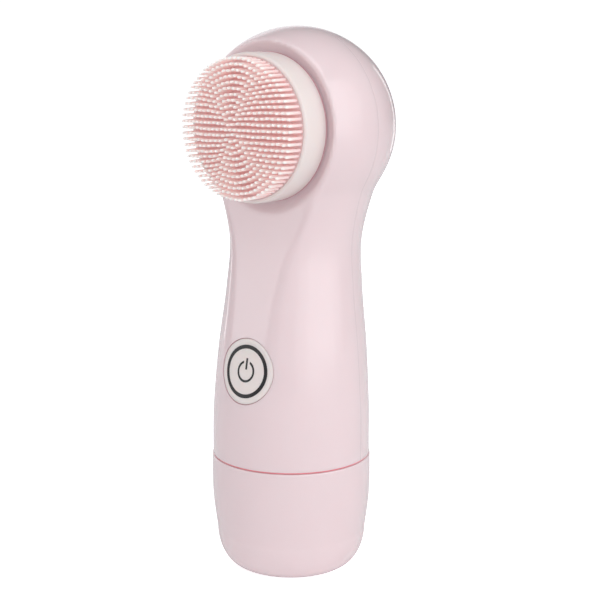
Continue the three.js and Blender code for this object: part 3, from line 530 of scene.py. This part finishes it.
# %% [markdown]
# ## The moulded body
# On the real brush the body is three injection mouldings: a front shell, a back shell and the
# battery cap. Each wall is 2.4 mm thick. Here a grid is laid on the body's formula, one row for
# each height, and a solidify step gives it its wall, just as a moulding is a skin of even
# thickness. The grid's two side edges are the parting line.


# %% Laying a grid on the form
def skin(rows, across):
    """A surface laid on the body over rows of (height, first angle, last angle)."""
    last_row = len(rows) - 1
    bpy.ops.mesh.primitive_grid_add(x_subdivisions=across, y_subdivisions=last_row, size=2)
    obj = bpy.context.active_object
    for vertex in obj.data.vertices:
        z, first, last = rows[round((vertex.co.y + 1) / 2 * last_row)]
        vertex.co = dished(body_point(first + (last - first) * (vertex.co.x + 1) / 2, z)) * MM
    edit(obj, merge_doubles(), normals_out)
    middle = sum((v.co for v in obj.data.vertices), Vector()) / len(obj.data.vertices)
    if sum(f.normal.dot(f.center - middle) * f.area for f in obj.data.polygons) < 0:
        edit(obj, bpy.ops.mesh.flip_normals)
    return obj


# %% Giving a skin its wall
def give_wall(obj, rounding):
    """Thickens a skin inwards into a moulding's wall and rounds its rims, in millimetres."""
    modify(obj, "SOLIDIFY", thickness=WALL * MM, offset=-1)
    edit(obj, merge_doubles(), normals_out)
    soften(obj, rounding * MM, angle=50)


# %% Where the rows and their ends lie
BALL_ROWS = 44


def side_angle(z, y):
    """The angle at which the body's section crosses a plane of constant y, or None above it."""
    if body_point(math.pi, z).y <= y:
        return None
    low, high = math.pi / 4, math.pi
    for _ in range(40):
        half = (low + high) / 2
        low, high = (half, high) if body_point(half, z).y < y else (low, half)
    return high


def crown(y):
    """The height at which the back of the ball has drawn in to a plane of constant y."""
    low, high = HEAD_Z, HEAD_TOP_Z
    for _ in range(50):
        half = (low + high) / 2
        low, high = (half, high) if body_point(math.pi, half).y > y else (low, half)
    return low


def heights(low, step, edge_y):
    """Rows of even height up the handle, closer rows over the ball, and one where the edges meet."""
    count = round((HEAD_Z - low) / step)
    up = [low + (HEAD_Z - low) * i / count for i in range(count)]
    over = [HEAD_Z + HEAD_RZ * math.sin(math.pi / 2 * i / BALL_ROWS) for i in range(BALL_ROWS + 1)]
    return sorted(up + over + [crown(edge_y)])


WAIST_Z = 90
print("parting angle at the waist", round(math.degrees(side_angle(WAIST_Z, SHELL_SPLIT_Y)), 1))

# %% [markdown]
# The front shell carries the flat face, the scoop under it and the button's hole. The hole and the
# spindle's hole are bored after the wall is made. The small bevel on every rim is what makes a
# parting line visible on a real moulding: two tiny radii that meet.

# %% Front shell
SPLIT_GAP = 0.05
EDGE_ROUNDING = 0.04
ROW_STEP = 0.9
BUTTON_HOLE_R = 10.6
SPINDLE_HOLE_R = 6.4
FRONT_EDGE_Y, BACK_EDGE_Y = SHELL_SPLIT_Y - SPLIT_GAP / 2, SHELL_SPLIT_Y + SPLIT_GAP / 2
front_rows = []
for z in heights(SHELL_LOW_Z, ROW_STEP, FRONT_EDGE_Y):
    side = side_angle(z, FRONT_EDGE_Y) or math.pi
    front_rows.append((z, -side, side))
front = skin(front_rows, 150)
give_wall(front, EDGE_ROUNDING)
subtract(
    front,
    cylinder(BUTTON_HOLE_R, -40, -12, z=BUTTON_Z, sides=128),
    cylinder(SPINDLE_HOLE_R, -20, -5, z=AXIS_Z),
)
shade(front, 40)
finished(front, "front_shell_moulding", "handle", pink_gloss, ["front_shell"])

# %% [markdown]
# Round the spindle's hole the moulding keeps a low collar, which the shaft seal sits in.

# %% Spindle collar
collar = turned(
    [(SPINDLE_HOLE_R, -12.9), (9.1, -12.9), (9.3, -12.7), (9.3, -10.6), (SPINDLE_HOLE_R, -10.6)],
    z=AXIS_Z, rounding=0.15,
)
finished(collar, "spindle_collar", "handle", pink_gloss)

# %% [markdown]
# The back shell closes the handle and the back of the ball. It ends in a point just behind the top,
# where the two halves of the parting line meet.

# %% Back shell
back_rows = []
for z in heights(SHELL_LOW_Z, ROW_STEP, BACK_EDGE_Y):
    side = side_angle(z, BACK_EDGE_Y)
    if side:
        back_rows.append((z, side, TAU - side))
back = skin(back_rows, 120)
give_wall(back, EDGE_ROUNDING)
shade(back, 40)
finished(back, "back_shell_moulding", "handle", pink_gloss, ["back_shell"])

# %% [markdown]
# The cap is the same form below the seam. Its foot is closed with one face that is inset and sunk
# a little, so the brush stands on a ring and doesn't rock on a crumb.

# %% Battery cap
FOOT_ROWS, SIDE_ROWS = 24, 26
cap_heights = []
for i in range(FOOT_ROWS + 1):
    s = math.sin(math.pi / 2 * (1 - i / FOOT_ROWS)) ** (2 / FOOT_ROUNDNESS)
    cap_heights.append(FOOT_TOP_Z * (1 - s))
side_step = (CAP_TOP_Z - FOOT_TOP_Z) / SIDE_ROWS
cap_heights += [FOOT_TOP_Z + side_step * i for i in range(1, SIDE_ROWS + 1)]
cap = skin([(z, -math.pi, math.pi) for z in cap_heights], 160)
edit(cap, lambda: bpy.ops.mesh.select_all(action="DESELECT"))
for vertex in cap.data.vertices:
    vertex.select = vertex.co.z < 1e-6
bpy.ops.object.mode_set(mode="EDIT")
bpy.ops.mesh.edge_face_add()
bpy.ops.mesh.inset(thickness=2.6 * MM)  # the ring it stands on
bpy.ops.mesh.inset(thickness=0.4 * MM, depth=-0.5 * MM)  # the step up
bpy.ops.mesh.inset(thickness=6 * MM)
bpy.ops.object.mode_set(mode="OBJECT")
give_wall(cap, 0.15)
shade(cap, 40)
finished(cap, "battery_cap_moulding", "battery_cap", pink_gloss, ["base_cap"])

# %% [markdown]
# Between cap and handle a soft ring keeps water out. It is a plain turned ring in a deep, saturated
# pink, and shows only as a thin line. Its strong colour is partly painted shade: the deep pink line of
# the shaded seam.

# %% Cap seal
seal = turned(
    [(24.3, 37.85), (25.9, 37.85), (25.9, 38.3), (24.3, 38.3)], axis="Z", steps=128, rounding=0.1,
)
finished(seal, "cap_seal_ring", "handle", seal_pink_and_seam_shade, ["cap_seal"])

# %% [markdown]
# ## The button
# The button is a cream disc that follows the handle's curve, so it lies flush in its hole. It is
# turned as a flat disc first, with a shallow dish for the thumb and a rounded rim, and then every
# point is moved back by the depth of the skin at its place.


# %% Button
def lay_on_skin(obj):
    """Moves a flat piece's points back so that it follows the handle's front."""
    for vertex in obj.data.vertices:
        vertex.co.y += front_y(vertex.co.x / MM, vertex.co.z / MM) * MM


def face_profile(stations, steps):
    """Points along a profile, close enough together to bend with the skin."""
    points = [stations[0]]
    for (r0, h0), (r1, h1) in zip(stations, stations[1:]):
        count = max(1, round(abs(r1 - r0) / steps))
        points += [(r0 + (r1 - r0) * i / count, h0 + (h1 - h0) * i / count) for i in range(1, count + 1)]
    return points


DISH = 0.18  # how deep the thumb's dish is
button = turned(
    face_profile(
        [
            (0, DISH), (8.5, DISH), (8.65, DISH - 0.04), (8.85, 0.04), (9.5, 0.02),
            (10.15, 0.06), (10.32, 0.16), (10.4, 0.35), (10.4, 2.0), (0, 2.0),
        ],
        0.7,
    ),
    z=BUTTON_Z, steps=128, rounding=0,
)
lay_on_skin(button)
edit(button, normals_out)
shade(button, 50)
stem = cylinder(2.2, -21.9, -17.8, z=BUTTON_Z, sides=32)
finished(stem, "button_stem", "power_button", cream_satin)
finished(button, "button_face", "power_button", cream_satin, ["button_cap"])

# %% [markdown]
# The black ring and the power sign are pad-printed on the real button. A print has a real but tiny
# thickness, so each is a thin inlay that lies 0.03 mm proud of the dish.

# %% Printed ring and power sign
INK_FRONT, INK_BACK = DISH - 0.04, DISH + 0.08
ink = finish("button_ink", (0.012, 0.011, 0.012), 0.32, drift=0.1, bump=0.05, bump_scale=2000)
ring = turned(
    face_profile(
        [(7.2, INK_FRONT), (8.42, INK_FRONT), (8.42, INK_BACK), (7.2, INK_BACK)], 0.5,
    ),
    z=BUTTON_Z, steps=128, rounding=0,
)
lay_on_skin(ring)
edit(ring, normals_out)
shade(ring, 40)
finished(ring, "button_printed_ring", "power_button", ink)

SIGN_R, SIGN_HALF = 3.1, 0.36
arc = turned(
    face_profile(
        [
            (SIGN_R - SIGN_HALF, INK_FRONT), (SIGN_R + SIGN_HALF, INK_FRONT),
            (SIGN_R + SIGN_HALF, INK_BACK), (SIGN_R - SIGN_HALF, INK_BACK),
        ],
        0.3,
    ),
    z=BUTTON_Z, steps=96, rounding=0,
)
subtract(arc, brick((-1.2, -5, BUTTON_Z + 1), (1.2, 5, BUTTON_Z + 6)))
bar = brick((-SIGN_HALF, INK_FRONT, BUTTON_Z + 0.6), (SIGN_HALF, INK_BACK, BUTTON_Z + 4.2))
edit(bar, lambda: bpy.ops.mesh.subdivide(number_cuts=6))
for piece, name in ((arc, "power_sign_arc"), (bar, "power_sign_bar")):
    lay_on_skin(piece)
    edit(piece, normals_out)
    shade(piece, 40)
    finished(piece, name, "power_button", ink)

# %% [markdown]
# Behind the button sits the ledge of the shell that the button's rim can rest on, and the soft
# membrane that seals it. The membrane's pink lip comes up in the slit round the button, where it
# shows as a fine line. Its dusty pink is painted shade: the pink shade deep in the narrow slit.

# %% Button seat, membrane and lip
LIP_IN_R, LIP_OUT_R, LIP_FRONT, LIP_BACK = 10.45, BUTTON_HOLE_R - 0.01, 0.16, 1.6
lip = turned(
    face_profile(
        [(LIP_IN_R, LIP_FRONT), (LIP_OUT_R, LIP_FRONT), (LIP_OUT_R, LIP_BACK), (LIP_IN_R, LIP_BACK)],
        0.5,
    ),
    z=BUTTON_Z, steps=128, rounding=0,
)
lay_on_skin(lip)
edit(lip, normals_out)
shade(lip, 40)
finished(lip, "button_seal_lip", "handle", lip_pink_painted_shade)
seat = turned([(10.6, -19.1), (12.9, -19.1), (12.9, -18.4), (10.6, -18.4)], z=BUTTON_Z, rounding=0.1)
finished(seat, "button_seat", "handle", pink_gloss)
membrane = turned(
    [(2.6, -18.3), (8.5, -18.25), (10, -18.05), (12.8, -18.3), (12.8, -17.9), (2.6, -17.9)],
    z=BUTTON_Z, rounding=0.08,
)
finished(membrane, "button_membrane", "handle", seal_pink_and_seam_shade, ["button_gasket"])

# %% [markdown]
# ## The brush head
# The hub is a cream cup with a soft front edge. It is turned from one profile; behind its plate
# there are six ribs and a boss with a hexagonal socket, as a moulding would have. A fine lip of dusty
# pink rubber runs round its back edge, which keeps water from being thrown behind it. Its dusty colour
# is also painted shade: the thin dark-pink line where the hub's back edge meets the dish.

# %% Hub
HUB_R, HUB_WALL = 23.4, 2.0
HUB_BACK_Y, HUB_SKIRT_Y, HUB_PLATE_Y, HUB_FRONT_Y = -13.3, -11.3, -18.9, -21.6
hub = turned(
    [
        (0, -20.3), (22.15, -20.3), (22.15, HUB_FRONT_Y), (22.35, HUB_FRONT_Y),
        (22.75, -21.53), (23.1, -21.3), (23.3, -20.9), (HUB_R, -20.35),
        (HUB_R, -11.8), (23.32, -11.5), (23.1, HUB_SKIRT_Y),
        (HUB_R - HUB_WALL, HUB_SKIRT_Y), (HUB_R - HUB_WALL, HUB_PLATE_Y), (0, HUB_PLATE_Y),
    ],
    z=AXIS_Z, steps=160, rounding=0.08,
)
shade(hub, 50)
finished(hub, "hub_cup", "brush_head", cream_satin, ["brush_hub"])

# %% Lip of the hub
# The hub's lip: dusty pink, partly painted shade for the thin line at the hub's back edge.
skirt_line = turned(
    [
        (HUB_R - 0.1, -12.0), (HUB_R + 0.08, -12.0), (HUB_R + 0.16, -11.9),
        (HUB_R + 0.16, -11.6), (HUB_R + 0.08, -11.5), (HUB_R - 0.1, -11.5),
    ],
    z=AXIS_Z, steps=160, rounding=0,
)
finished(skirt_line, "hub_skirt_line", "brush_head", lip_pink_painted_shade)

# %% Boss and ribs behind the hub's plate
BOSS_R, SOCKET_R, RIBS = 5.4, 2.95, 6
boss = cylinder(BOSS_R, HUB_PLATE_Y - 0.5, HUB_BACK_Y - 0.1, z=AXIS_Z, sides=72)
socket = cylinder(SOCKET_R, HUB_PLATE_Y - 0.2, HUB_BACK_Y + 1, z=AXIS_Z, sides=6)
subtract(boss, socket)
soften(boss, 0.15 * MM)
shade(boss)
finished(boss, "hub_boss", "brush_head", cream_satin)
for i in range(RIBS):
    rib = brick((5, HUB_PLATE_Y - 0.5, -0.6), (HUB_R - 1.2, -16.2, 0.6))
    rib.rotation_euler = (0, TAU * i / RIBS, 0)
    rib.location = (0, 0, AXIS_Z * MM)
    place_in_mesh(rib)
    soften(rib, 0.15 * MM)
    finished(rib, f"hub_rib_{i + 1}", "brush_head", cream_satin)

# %% [markdown]
# ## The silicone pad
# The pad is one soft moulding: a skin with 469 tapered bristles in twelve rings. Ring k holds
# 6k bristles, which packs them almost evenly. Its colour runs from nearly white at the thin tips to a
# deeper pink at the root. That is partly the silicone's own tint and partly painted light for the light
# that gets into it, and the root colour is kept light to lift the painted shade between the bristles.
# The tips lie on a shallow dome, so the colour is a ramp over the depth under that dome. A faint glow
# of the same colour is painted light too, for the light that comes through from the bristles all round.

# %% Silicone finish
silicone = bpy.data.materials.new("soft_silicone")
silicone.use_nodes = True
nodes, links = silicone.node_tree.nodes, silicone.node_tree.links
bsdf = nodes["Principled BSDF"]
bsdf.inputs["Roughness"].default_value = 0.5
bsdf.inputs["Specular IOR Level"].default_value = 0.2
# A faint glow in the ramp's colour: painted light, for light that comes through the silicone; the pad is no
# lamp.
bsdf.inputs["Emission Strength"].default_value = 0.09
bsdf.inputs["Subsurface Weight"].default_value = 0.85
bsdf.inputs["Subsurface Radius"].default_value = (0.004, 0.0026, 0.0025)
bsdf.inputs["Subsurface Scale"].default_value = 1.0
print("silicone nodes so far:", len(nodes))


# %% Depth under the tips
TIP_R, TIP_EDGE_Y, TIP_CENTRE_Y = 21.7, -28.0, -30.4
DEEPEST = 6.2  # how far down the colour goes on changing


def sums(operation, a, b):
    """A maths node on two outputs or numbers."""
    node = nodes.new("ShaderNodeMath")
    node.operation = operation
    for socket, value in zip(node.inputs, (a, b)):
        if isinstance(value, float):
            socket.default_value = value
        else:
            links.new(value, socket)
    return node.outputs["Value"]


coords = nodes.new("ShaderNodeTexCoord")
parts = nodes.new("ShaderNodeSeparateXYZ")
links.new(coords.outputs["Object"], parts.inputs["Vector"])
across = parts.outputs["X"]
up = sums("SUBTRACT", parts.outputs["Z"], AXIS_Z * MM)
out_squared = sums("ADD", sums("MULTIPLY", across, across), sums("MULTIPLY", up, up))
rise = (TIP_EDGE_Y - TIP_CENTRE_Y) * MM / (TIP_R * MM) ** 2
dome = sums("ADD", sums("MULTIPLY", out_squared, rise), TIP_CENTRE_Y * MM)
depth = nodes.new("ShaderNodeMapRange")
depth.inputs["From Max"].default_value = DEEPEST * MM
links.new(sums("SUBTRACT", parts.outputs["Y"], dome), depth.inputs["Value"])
print("tips from", TIP_EDGE_Y, "to", TIP_CENTRE_Y)

# %% Silicone colours: tint, painted light and shade, and a painted glow
cloud = nodes.new("ShaderNodeTexNoise")
cloud.inputs["Scale"].default_value = 400
jitter = nodes.new("ShaderNodeMath")
jitter.operation = "MULTIPLY_ADD"
jitter.inputs[1].default_value = 0.06
# Depth ramp from near-white tips to deeper pink roots: partly tint, partly painted light and shade, with
# the roots kept light to lift the shade between bristles.
ramp = nodes.new("ShaderNodeValToRGB")
ramp.color_ramp.elements[0].color = (0.96, 0.88, 0.83, 1)
ramp.color_ramp.elements[1].color = (0.92, 0.60, 0.59, 1)
for position, colour in ((0.13, (0.95, 0.86, 0.81, 1)), (0.27, (0.92, 0.73, 0.70, 1))):
    ramp.color_ramp.elements.new(position).color = colour
links.new(coords.outputs["Object"], cloud.inputs["Vector"])
links.new(cloud.outputs["Fac"], jitter.inputs[0])
links.new(depth.outputs["Result"], jitter.inputs[2])
links.new(jitter.outputs["Value"], ramp.inputs["Fac"])
links.new(ramp.outputs["Color"], bsdf.inputs["Base Color"])
links.new(ramp.outputs["Color"], bsdf.inputs["Emission Color"])
print("silicone nodes:", len(nodes))

# %% [markdown]
# The skin of the pad is a turned disc inside the hub's rim, domed as gently as the tips are.

# %% Pad skin
PAD_R = 22.05
PAD_EDGE_Y, PAD_CENTRE_Y = -21.7, -23.6
pad = turned(
    [(0, -20.5), (PAD_R, -20.5)] + [
        (PAD_R * i / 8, PAD_CENTRE_Y + (PAD_EDGE_Y - PAD_CENTRE_Y) * (i / 8) ** 2)
        for i in range(8, -1, -1)
    ],
    z=AXIS_Z, steps=96, rounding=0,
)
finished(pad, "pad_skin", "brush_head", silicone, ["silicone_pad"])

# %% [markdown]
# One bristle is turned, then copied to every place and stretched so that the tips lie on a shallow
# dome. A soft bristle never stands quite true, so each one leans by up to a degree or two.

# %% Bristles
PITCH = 1.8
RINGS = 12
LEAN = 0.012  # radians, about two thirds of a degree
random.seed(7)
model = turned(
    [(0, 0), (0.52, 0), (0.48, -0.25), (0.46, -0.6), (0.46, -0.90), (0.38, -0.96), (0.2, -0.99), (0, -1)],
    steps=10, rounding=0,
)
spots = [(0.0, 0.0)]
for ring_number in range(1, RINGS + 1):
    for j in range(6 * ring_number):
        a = math.radians(60 * j / ring_number)
        spots.append((PITCH * ring_number * math.cos(a), PITCH * ring_number * math.sin(a)))
bristles = []
for x, z in spots:
    out = (math.hypot(x, z) / TIP_R) ** 2
    base = PAD_CENTRE_Y + (PAD_EDGE_Y - PAD_CENTRE_Y) * out + 0.2
    reach = TIP_CENTRE_Y + (TIP_EDGE_Y - TIP_CENTRE_Y) * out
    copy = model.copy()
    copy.data = model.data.copy()
    bpy.context.collection.objects.link(copy)
    copy.scale = (1, base - reach, 1)
    copy.rotation_euler = (random.gauss(0, LEAN), 0, random.gauss(0, LEAN))
    copy.location = (x * MM, base * MM, (AXIS_Z + z) * MM)
    bristles.append(copy)
bpy.data.objects.remove(model)
bpy.ops.object.select_all(action="DESELECT")
for copy in bristles:
    copy.select_set(True)
bpy.context.view_layer.objects.active = bristles[0]
bpy.ops.object.join()
tufts = bpy.context.active_object
place_in_mesh(tufts)
edit(tufts, normals_out)
shade(tufts, 60)
finished(tufts, "bristles", "brush_head", silicone)
print("bristles:", len(spots))

# %% [markdown]
# ## Inside the brush
# The parts inside keep the solid form of the CAD model. Each gets what a moulded or turned part
# has: its doubled corners are welded, its edges are rounded a little, and it takes its own finish.
# The jacket, the wound springs and the printed board are made or patterned on top of that.

# %% Finishes of the inner parts
natural_abs = finish("natural_abs", (0.72, 0.70, 0.65), 0.42, bump=0.1, bump_scale=1800)
black_plastic = finish("black_abs", (0.022, 0.022, 0.023), 0.45, bump=0.15, bump_scale=3500)
nickel = finish("nickel_plate", (0.62, 0.60, 0.57), 0.22, metallic=1.0, bump=0.05)
zinc = finish("zinc_plate", (0.50, 0.51, 0.53), 0.34, metallic=1.0, drift=0.08, drift_scale=300)
drawn_steel = finish(
    "drawn_steel", (0.48, 0.48, 0.49), 0.3, metallic=1.0, bump=0.2, bump_scale=1500, stretch=(1, 0.04, 1),
)
bronze = finish("turned_bronze", (0.50, 0.30, 0.12), 0.34, metallic=1.0, drift=0.1, drift_scale=250)
nylon = finish(
    "greased_nylon", (0.80, 0.77, 0.68), 0.32, drift=0.03, drift_scale=300, Coat_Weight=0.3,
    Subsurface_Weight=0.2, Subsurface_Radius=(0.002, 0.002, 0.0015), Subsurface_Scale=1.0,
)
red_wire = finish("red_pvc", (0.42, 0.018, 0.015), 0.4, bump=0.1)
black_wire = finish("black_pvc", (0.018, 0.018, 0.018), 0.4, bump=0.1)
print("finishes:", len(bpy.data.materials))

# %% [markdown]
# The board's green resist shows its copper tracks as slightly lighter lines under it. A brick
# pattern with thin joints, bent by a little noise, reads as tracks at this size.

# %% Board finish
board = finish("green_resist", (0.02, 0.13, 0.06), 0.28, drift=0.1, drift_scale=200, Coat_Weight=0.4)
nodes, links = board.node_tree.nodes, board.node_tree.links
tracks = nodes.new("ShaderNodeTexBrick")
tracks.inputs["Scale"].default_value = 260
tracks.inputs["Mortar Size"].default_value = 0.03
tracks.inputs["Color1"].default_value = (0.012, 0.11, 0.05, 1)
tracks.inputs["Color2"].default_value = (0.016, 0.13, 0.06, 1)
tracks.inputs["Mortar"].default_value = (0.06, 0.26, 0.11, 1)
turn = nodes.new("ShaderNodeMapping")
turn.inputs["Rotation"].default_value = (math.pi / 2, 0, 0)
coords = nodes.new("ShaderNodeTexCoord")
links.new(coords.outputs["Object"], turn.inputs["Vector"])
links.new(turn.outputs["Vector"], tracks.inputs["Vector"])
links.new(tracks.outputs["Color"], nodes["Principled BSDF"].inputs["Base Color"])
print("board nodes:", len(nodes))

# %% [markdown]
# A cell's jacket is printed foil: a dark body, a copper-coloured band at the plus end and a thin
# pale line between them. The bands follow the height, so the two cells that stand on their heads
# need the bands the other way up.


# %% Jacket finish
def jacket(name, low, high):
    """Printed bands between two heights in millimetres, from the minus end to the plus end."""
    material = finish(name, (0.05, 0.10, 0.08), 0.3, metallic=0.6, Coat_Weight=0.5)
    nodes, links = material.node_tree.nodes, material.node_tree.links
    coords = nodes.new("ShaderNodeTexCoord")
    height = nodes.new("ShaderNodeSeparateXYZ")
    place = nodes.new("ShaderNodeMapRange")
    place.inputs["From Min"].default_value = low * MM
    place.inputs["From Max"].default_value = high * MM
    bands = nodes.new("ShaderNodeValToRGB")
    bands.color_ramp.interpolation = "CONSTANT"
    bands.color_ramp.elements[0].color = (0.60, 0.58, 0.55, 1)
    bands.color_ramp.elements[1].position = 0.985
    bands.color_ramp.elements[1].color = (0.60, 0.58, 0.55, 1)
    for position, colour in (
        (0.02, (0.03, 0.085, 0.065, 1)), (0.70, (0.75, 0.73, 0.68, 1)), (0.715, (0.45, 0.20, 0.09, 1)),
    ):
        bands.color_ramp.elements.new(position).color = colour
    links.new(coords.outputs["Object"], height.inputs["Vector"])
    links.new(height.outputs["Z"], place.inputs["Value"])
    links.new(place.outputs["Result"], bands.inputs["Fac"])
    links.new(bands.outputs["Color"], nodes["Principled BSDF"].inputs["Base Color"])
    return material


CELL_LOW_Z, CELL_HIGH_Z, CELL_NUB = 10.0, 60.5, 1.2
jacket_up = jacket("cell_jacket_plus_up", CELL_LOW_Z, CELL_HIGH_Z - CELL_NUB)
jacket_down = jacket("cell_jacket_plus_down", CELL_HIGH_Z, CELL_LOW_Z + CELL_NUB)
print("jackets made for", CELL_HIGH_Z - CELL_LOW_Z, "mm cells")

# %% [markdown]
# Each cell is turned from one profile: a can with rolled shoulders, an insulating washer's groove
# and the plus button.

# %% Cells
CELL_R = 7.25
for number in range(1, 5):
    low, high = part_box(f"cell_{number}")
    x, y = (low.x + high.x) / 2 / MM, (low.y + high.y) / 2 / MM
    plus_up = number in (2, 4)
    outline = [
        (0, 0), (5.9, 0), (6.3, 0.35), (6.6, 0.15), (7.0, 0.2), (CELL_R, 0.6),
        (CELL_R, 48.6), (7.0, 49.05), (6.2, 49.3), (5.2, 49.3), (4.9, 48.95), (3.3, 48.95),
        (2.9, 49.2), (2.75, 50.2), (2.5, 50.45), (0, 50.5),
    ]
    profile = [(r, CELL_LOW_Z + h if plus_up else CELL_HIGH_Z - h) for r, h in outline]
    cell = turned(profile, axis="Z", x=x, y=y, steps=48, rounding=0)
    shade(cell, 50)
    finished(
        cell, f"cell_{number}_can", "handle", jacket_up if plus_up else jacket_down,
        [f"cell_{number}"],
    )

# %% [markdown]
# The battery springs are wound cones of nickel-plated wire. Each is a curve whose points climb a
# helix, given a round bevel and turned into a mesh.


# %% Springs
SPRING_WIDE_R, SPRING_TAPER = 4.55, 1.7


def spring(node, name, body, wide_low, turns=4, wire=0.32):
    """A conical wound spring in the place of a CAD node."""
    low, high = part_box(node)
    middle = (low + high) / 2
    steps = turns * 20
    bpy.ops.curve.primitive_nurbs_path_add()
    made = bpy.context.active_object
    made.data.splines.clear()
    line = made.data.splines.new("POLY")
    line.points.add(steps)
    rise = high.z - low.z - 2 * wire * MM
    for i, point in enumerate(line.points):
        t = i / steps
        r = (SPRING_WIDE_R - SPRING_TAPER * (t if wide_low else 1 - t)) * MM
        a = TAU * turns * t
        climb = smooth((t - 0.08) / 0.84)
        point.co = (
            middle.x + r * math.cos(a), middle.y + r * math.sin(a), low.z + wire * MM + rise * climb, 1,
        )
    made.data.bevel_depth = wire * MM
    made.data.bevel_resolution = 2
    made.data.use_fill_caps = True
    only(made)
    bpy.ops.object.convert(target="MESH")
    made = bpy.context.active_object
    place_in_mesh(made)
    edit(made, normals_out)
    shade(made, 50)
    return finished(made, name, body, nickel, [node])


SPRINGS = (  # CAD node, body, wide end below
    ("upper_spring_1", "handle", False), ("upper_spring_2", "handle", False),
    ("lower_spring_1", "contact_carrier", True), ("lower_spring_2", "contact_carrier", True),
)
for node, body, wide_low in SPRINGS:
    spring(node, f"{node}_wound", body, wide_low)

# %% [markdown]
# The other inner parts are the CAD's own pieces, carried over. Welding and rounding are left as
# modifiers, because a carried-over piece keeps its own points.


# %% Parts carried over
def dress(node, material, width=0.12):
    """Gives a CAD piece rounded edges and its finish."""
    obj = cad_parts[node]
    obj.data.materials.clear()
    obj.data.materials.append(material)
    only(obj)
    weld = obj.modifiers.new("weld", "WELD")
    weld.merge_threshold = 0.00001
    rounding = obj.modifiers.new("rounding", "BEVEL")
    rounding.width = width * MM
    rounding.segments = 2
    rounding.limit_method = "ANGLE"
    rounding.angle_limit = math.radians(38)
    shade(obj, 38)


CARRIED = {
    natural_abs: ("battery_sleeve", "bayonet_ring", "contact_disc", "gearbox_front", "gearbox_rear"),
    black_plastic: ("switch_body", "switch_plunger", "driver_chip", "capacitor", "motor_end_bell"),
    nickel: (
        "upper_bridge", "upper_terminal_negative", "upper_terminal_positive", "lower_bridge_1",
        "lower_bridge_2", "hub_clip",
    ),
    zinc: (
        "board_screw_1", "board_screw_2", "gearbox_mount_screw_1", "gearbox_mount_screw_2",
        "gearbox_mount_screw_3", "gearbox_screw_1", "gearbox_screw_2", "motor_screw_1",
        "motor_screw_2", "idler_pin",
    ),
    drawn_steel: ("motor_can", "motor_shaft", "output_spindle"),
    bronze: ("spindle_bush", "motor_pinion"),
    nylon: ("output_gear", "idler_gear"),
    board: ("circuit_board",),
    black_rubber: ("shaft_seal",),
    red_wire: ("battery_wire_red", "motor_wire_red"),
    black_wire: ("battery_wire_black", "motor_wire_black"),
}
for material, names in CARRIED.items():
    for name in names:
        small = material in (zinc, nylon, bronze, red_wire, black_wire)
        dress(name, material, 0.05 if small else 0.12)
print("carried over:", sum(len(names) for names in CARRIED.values()))
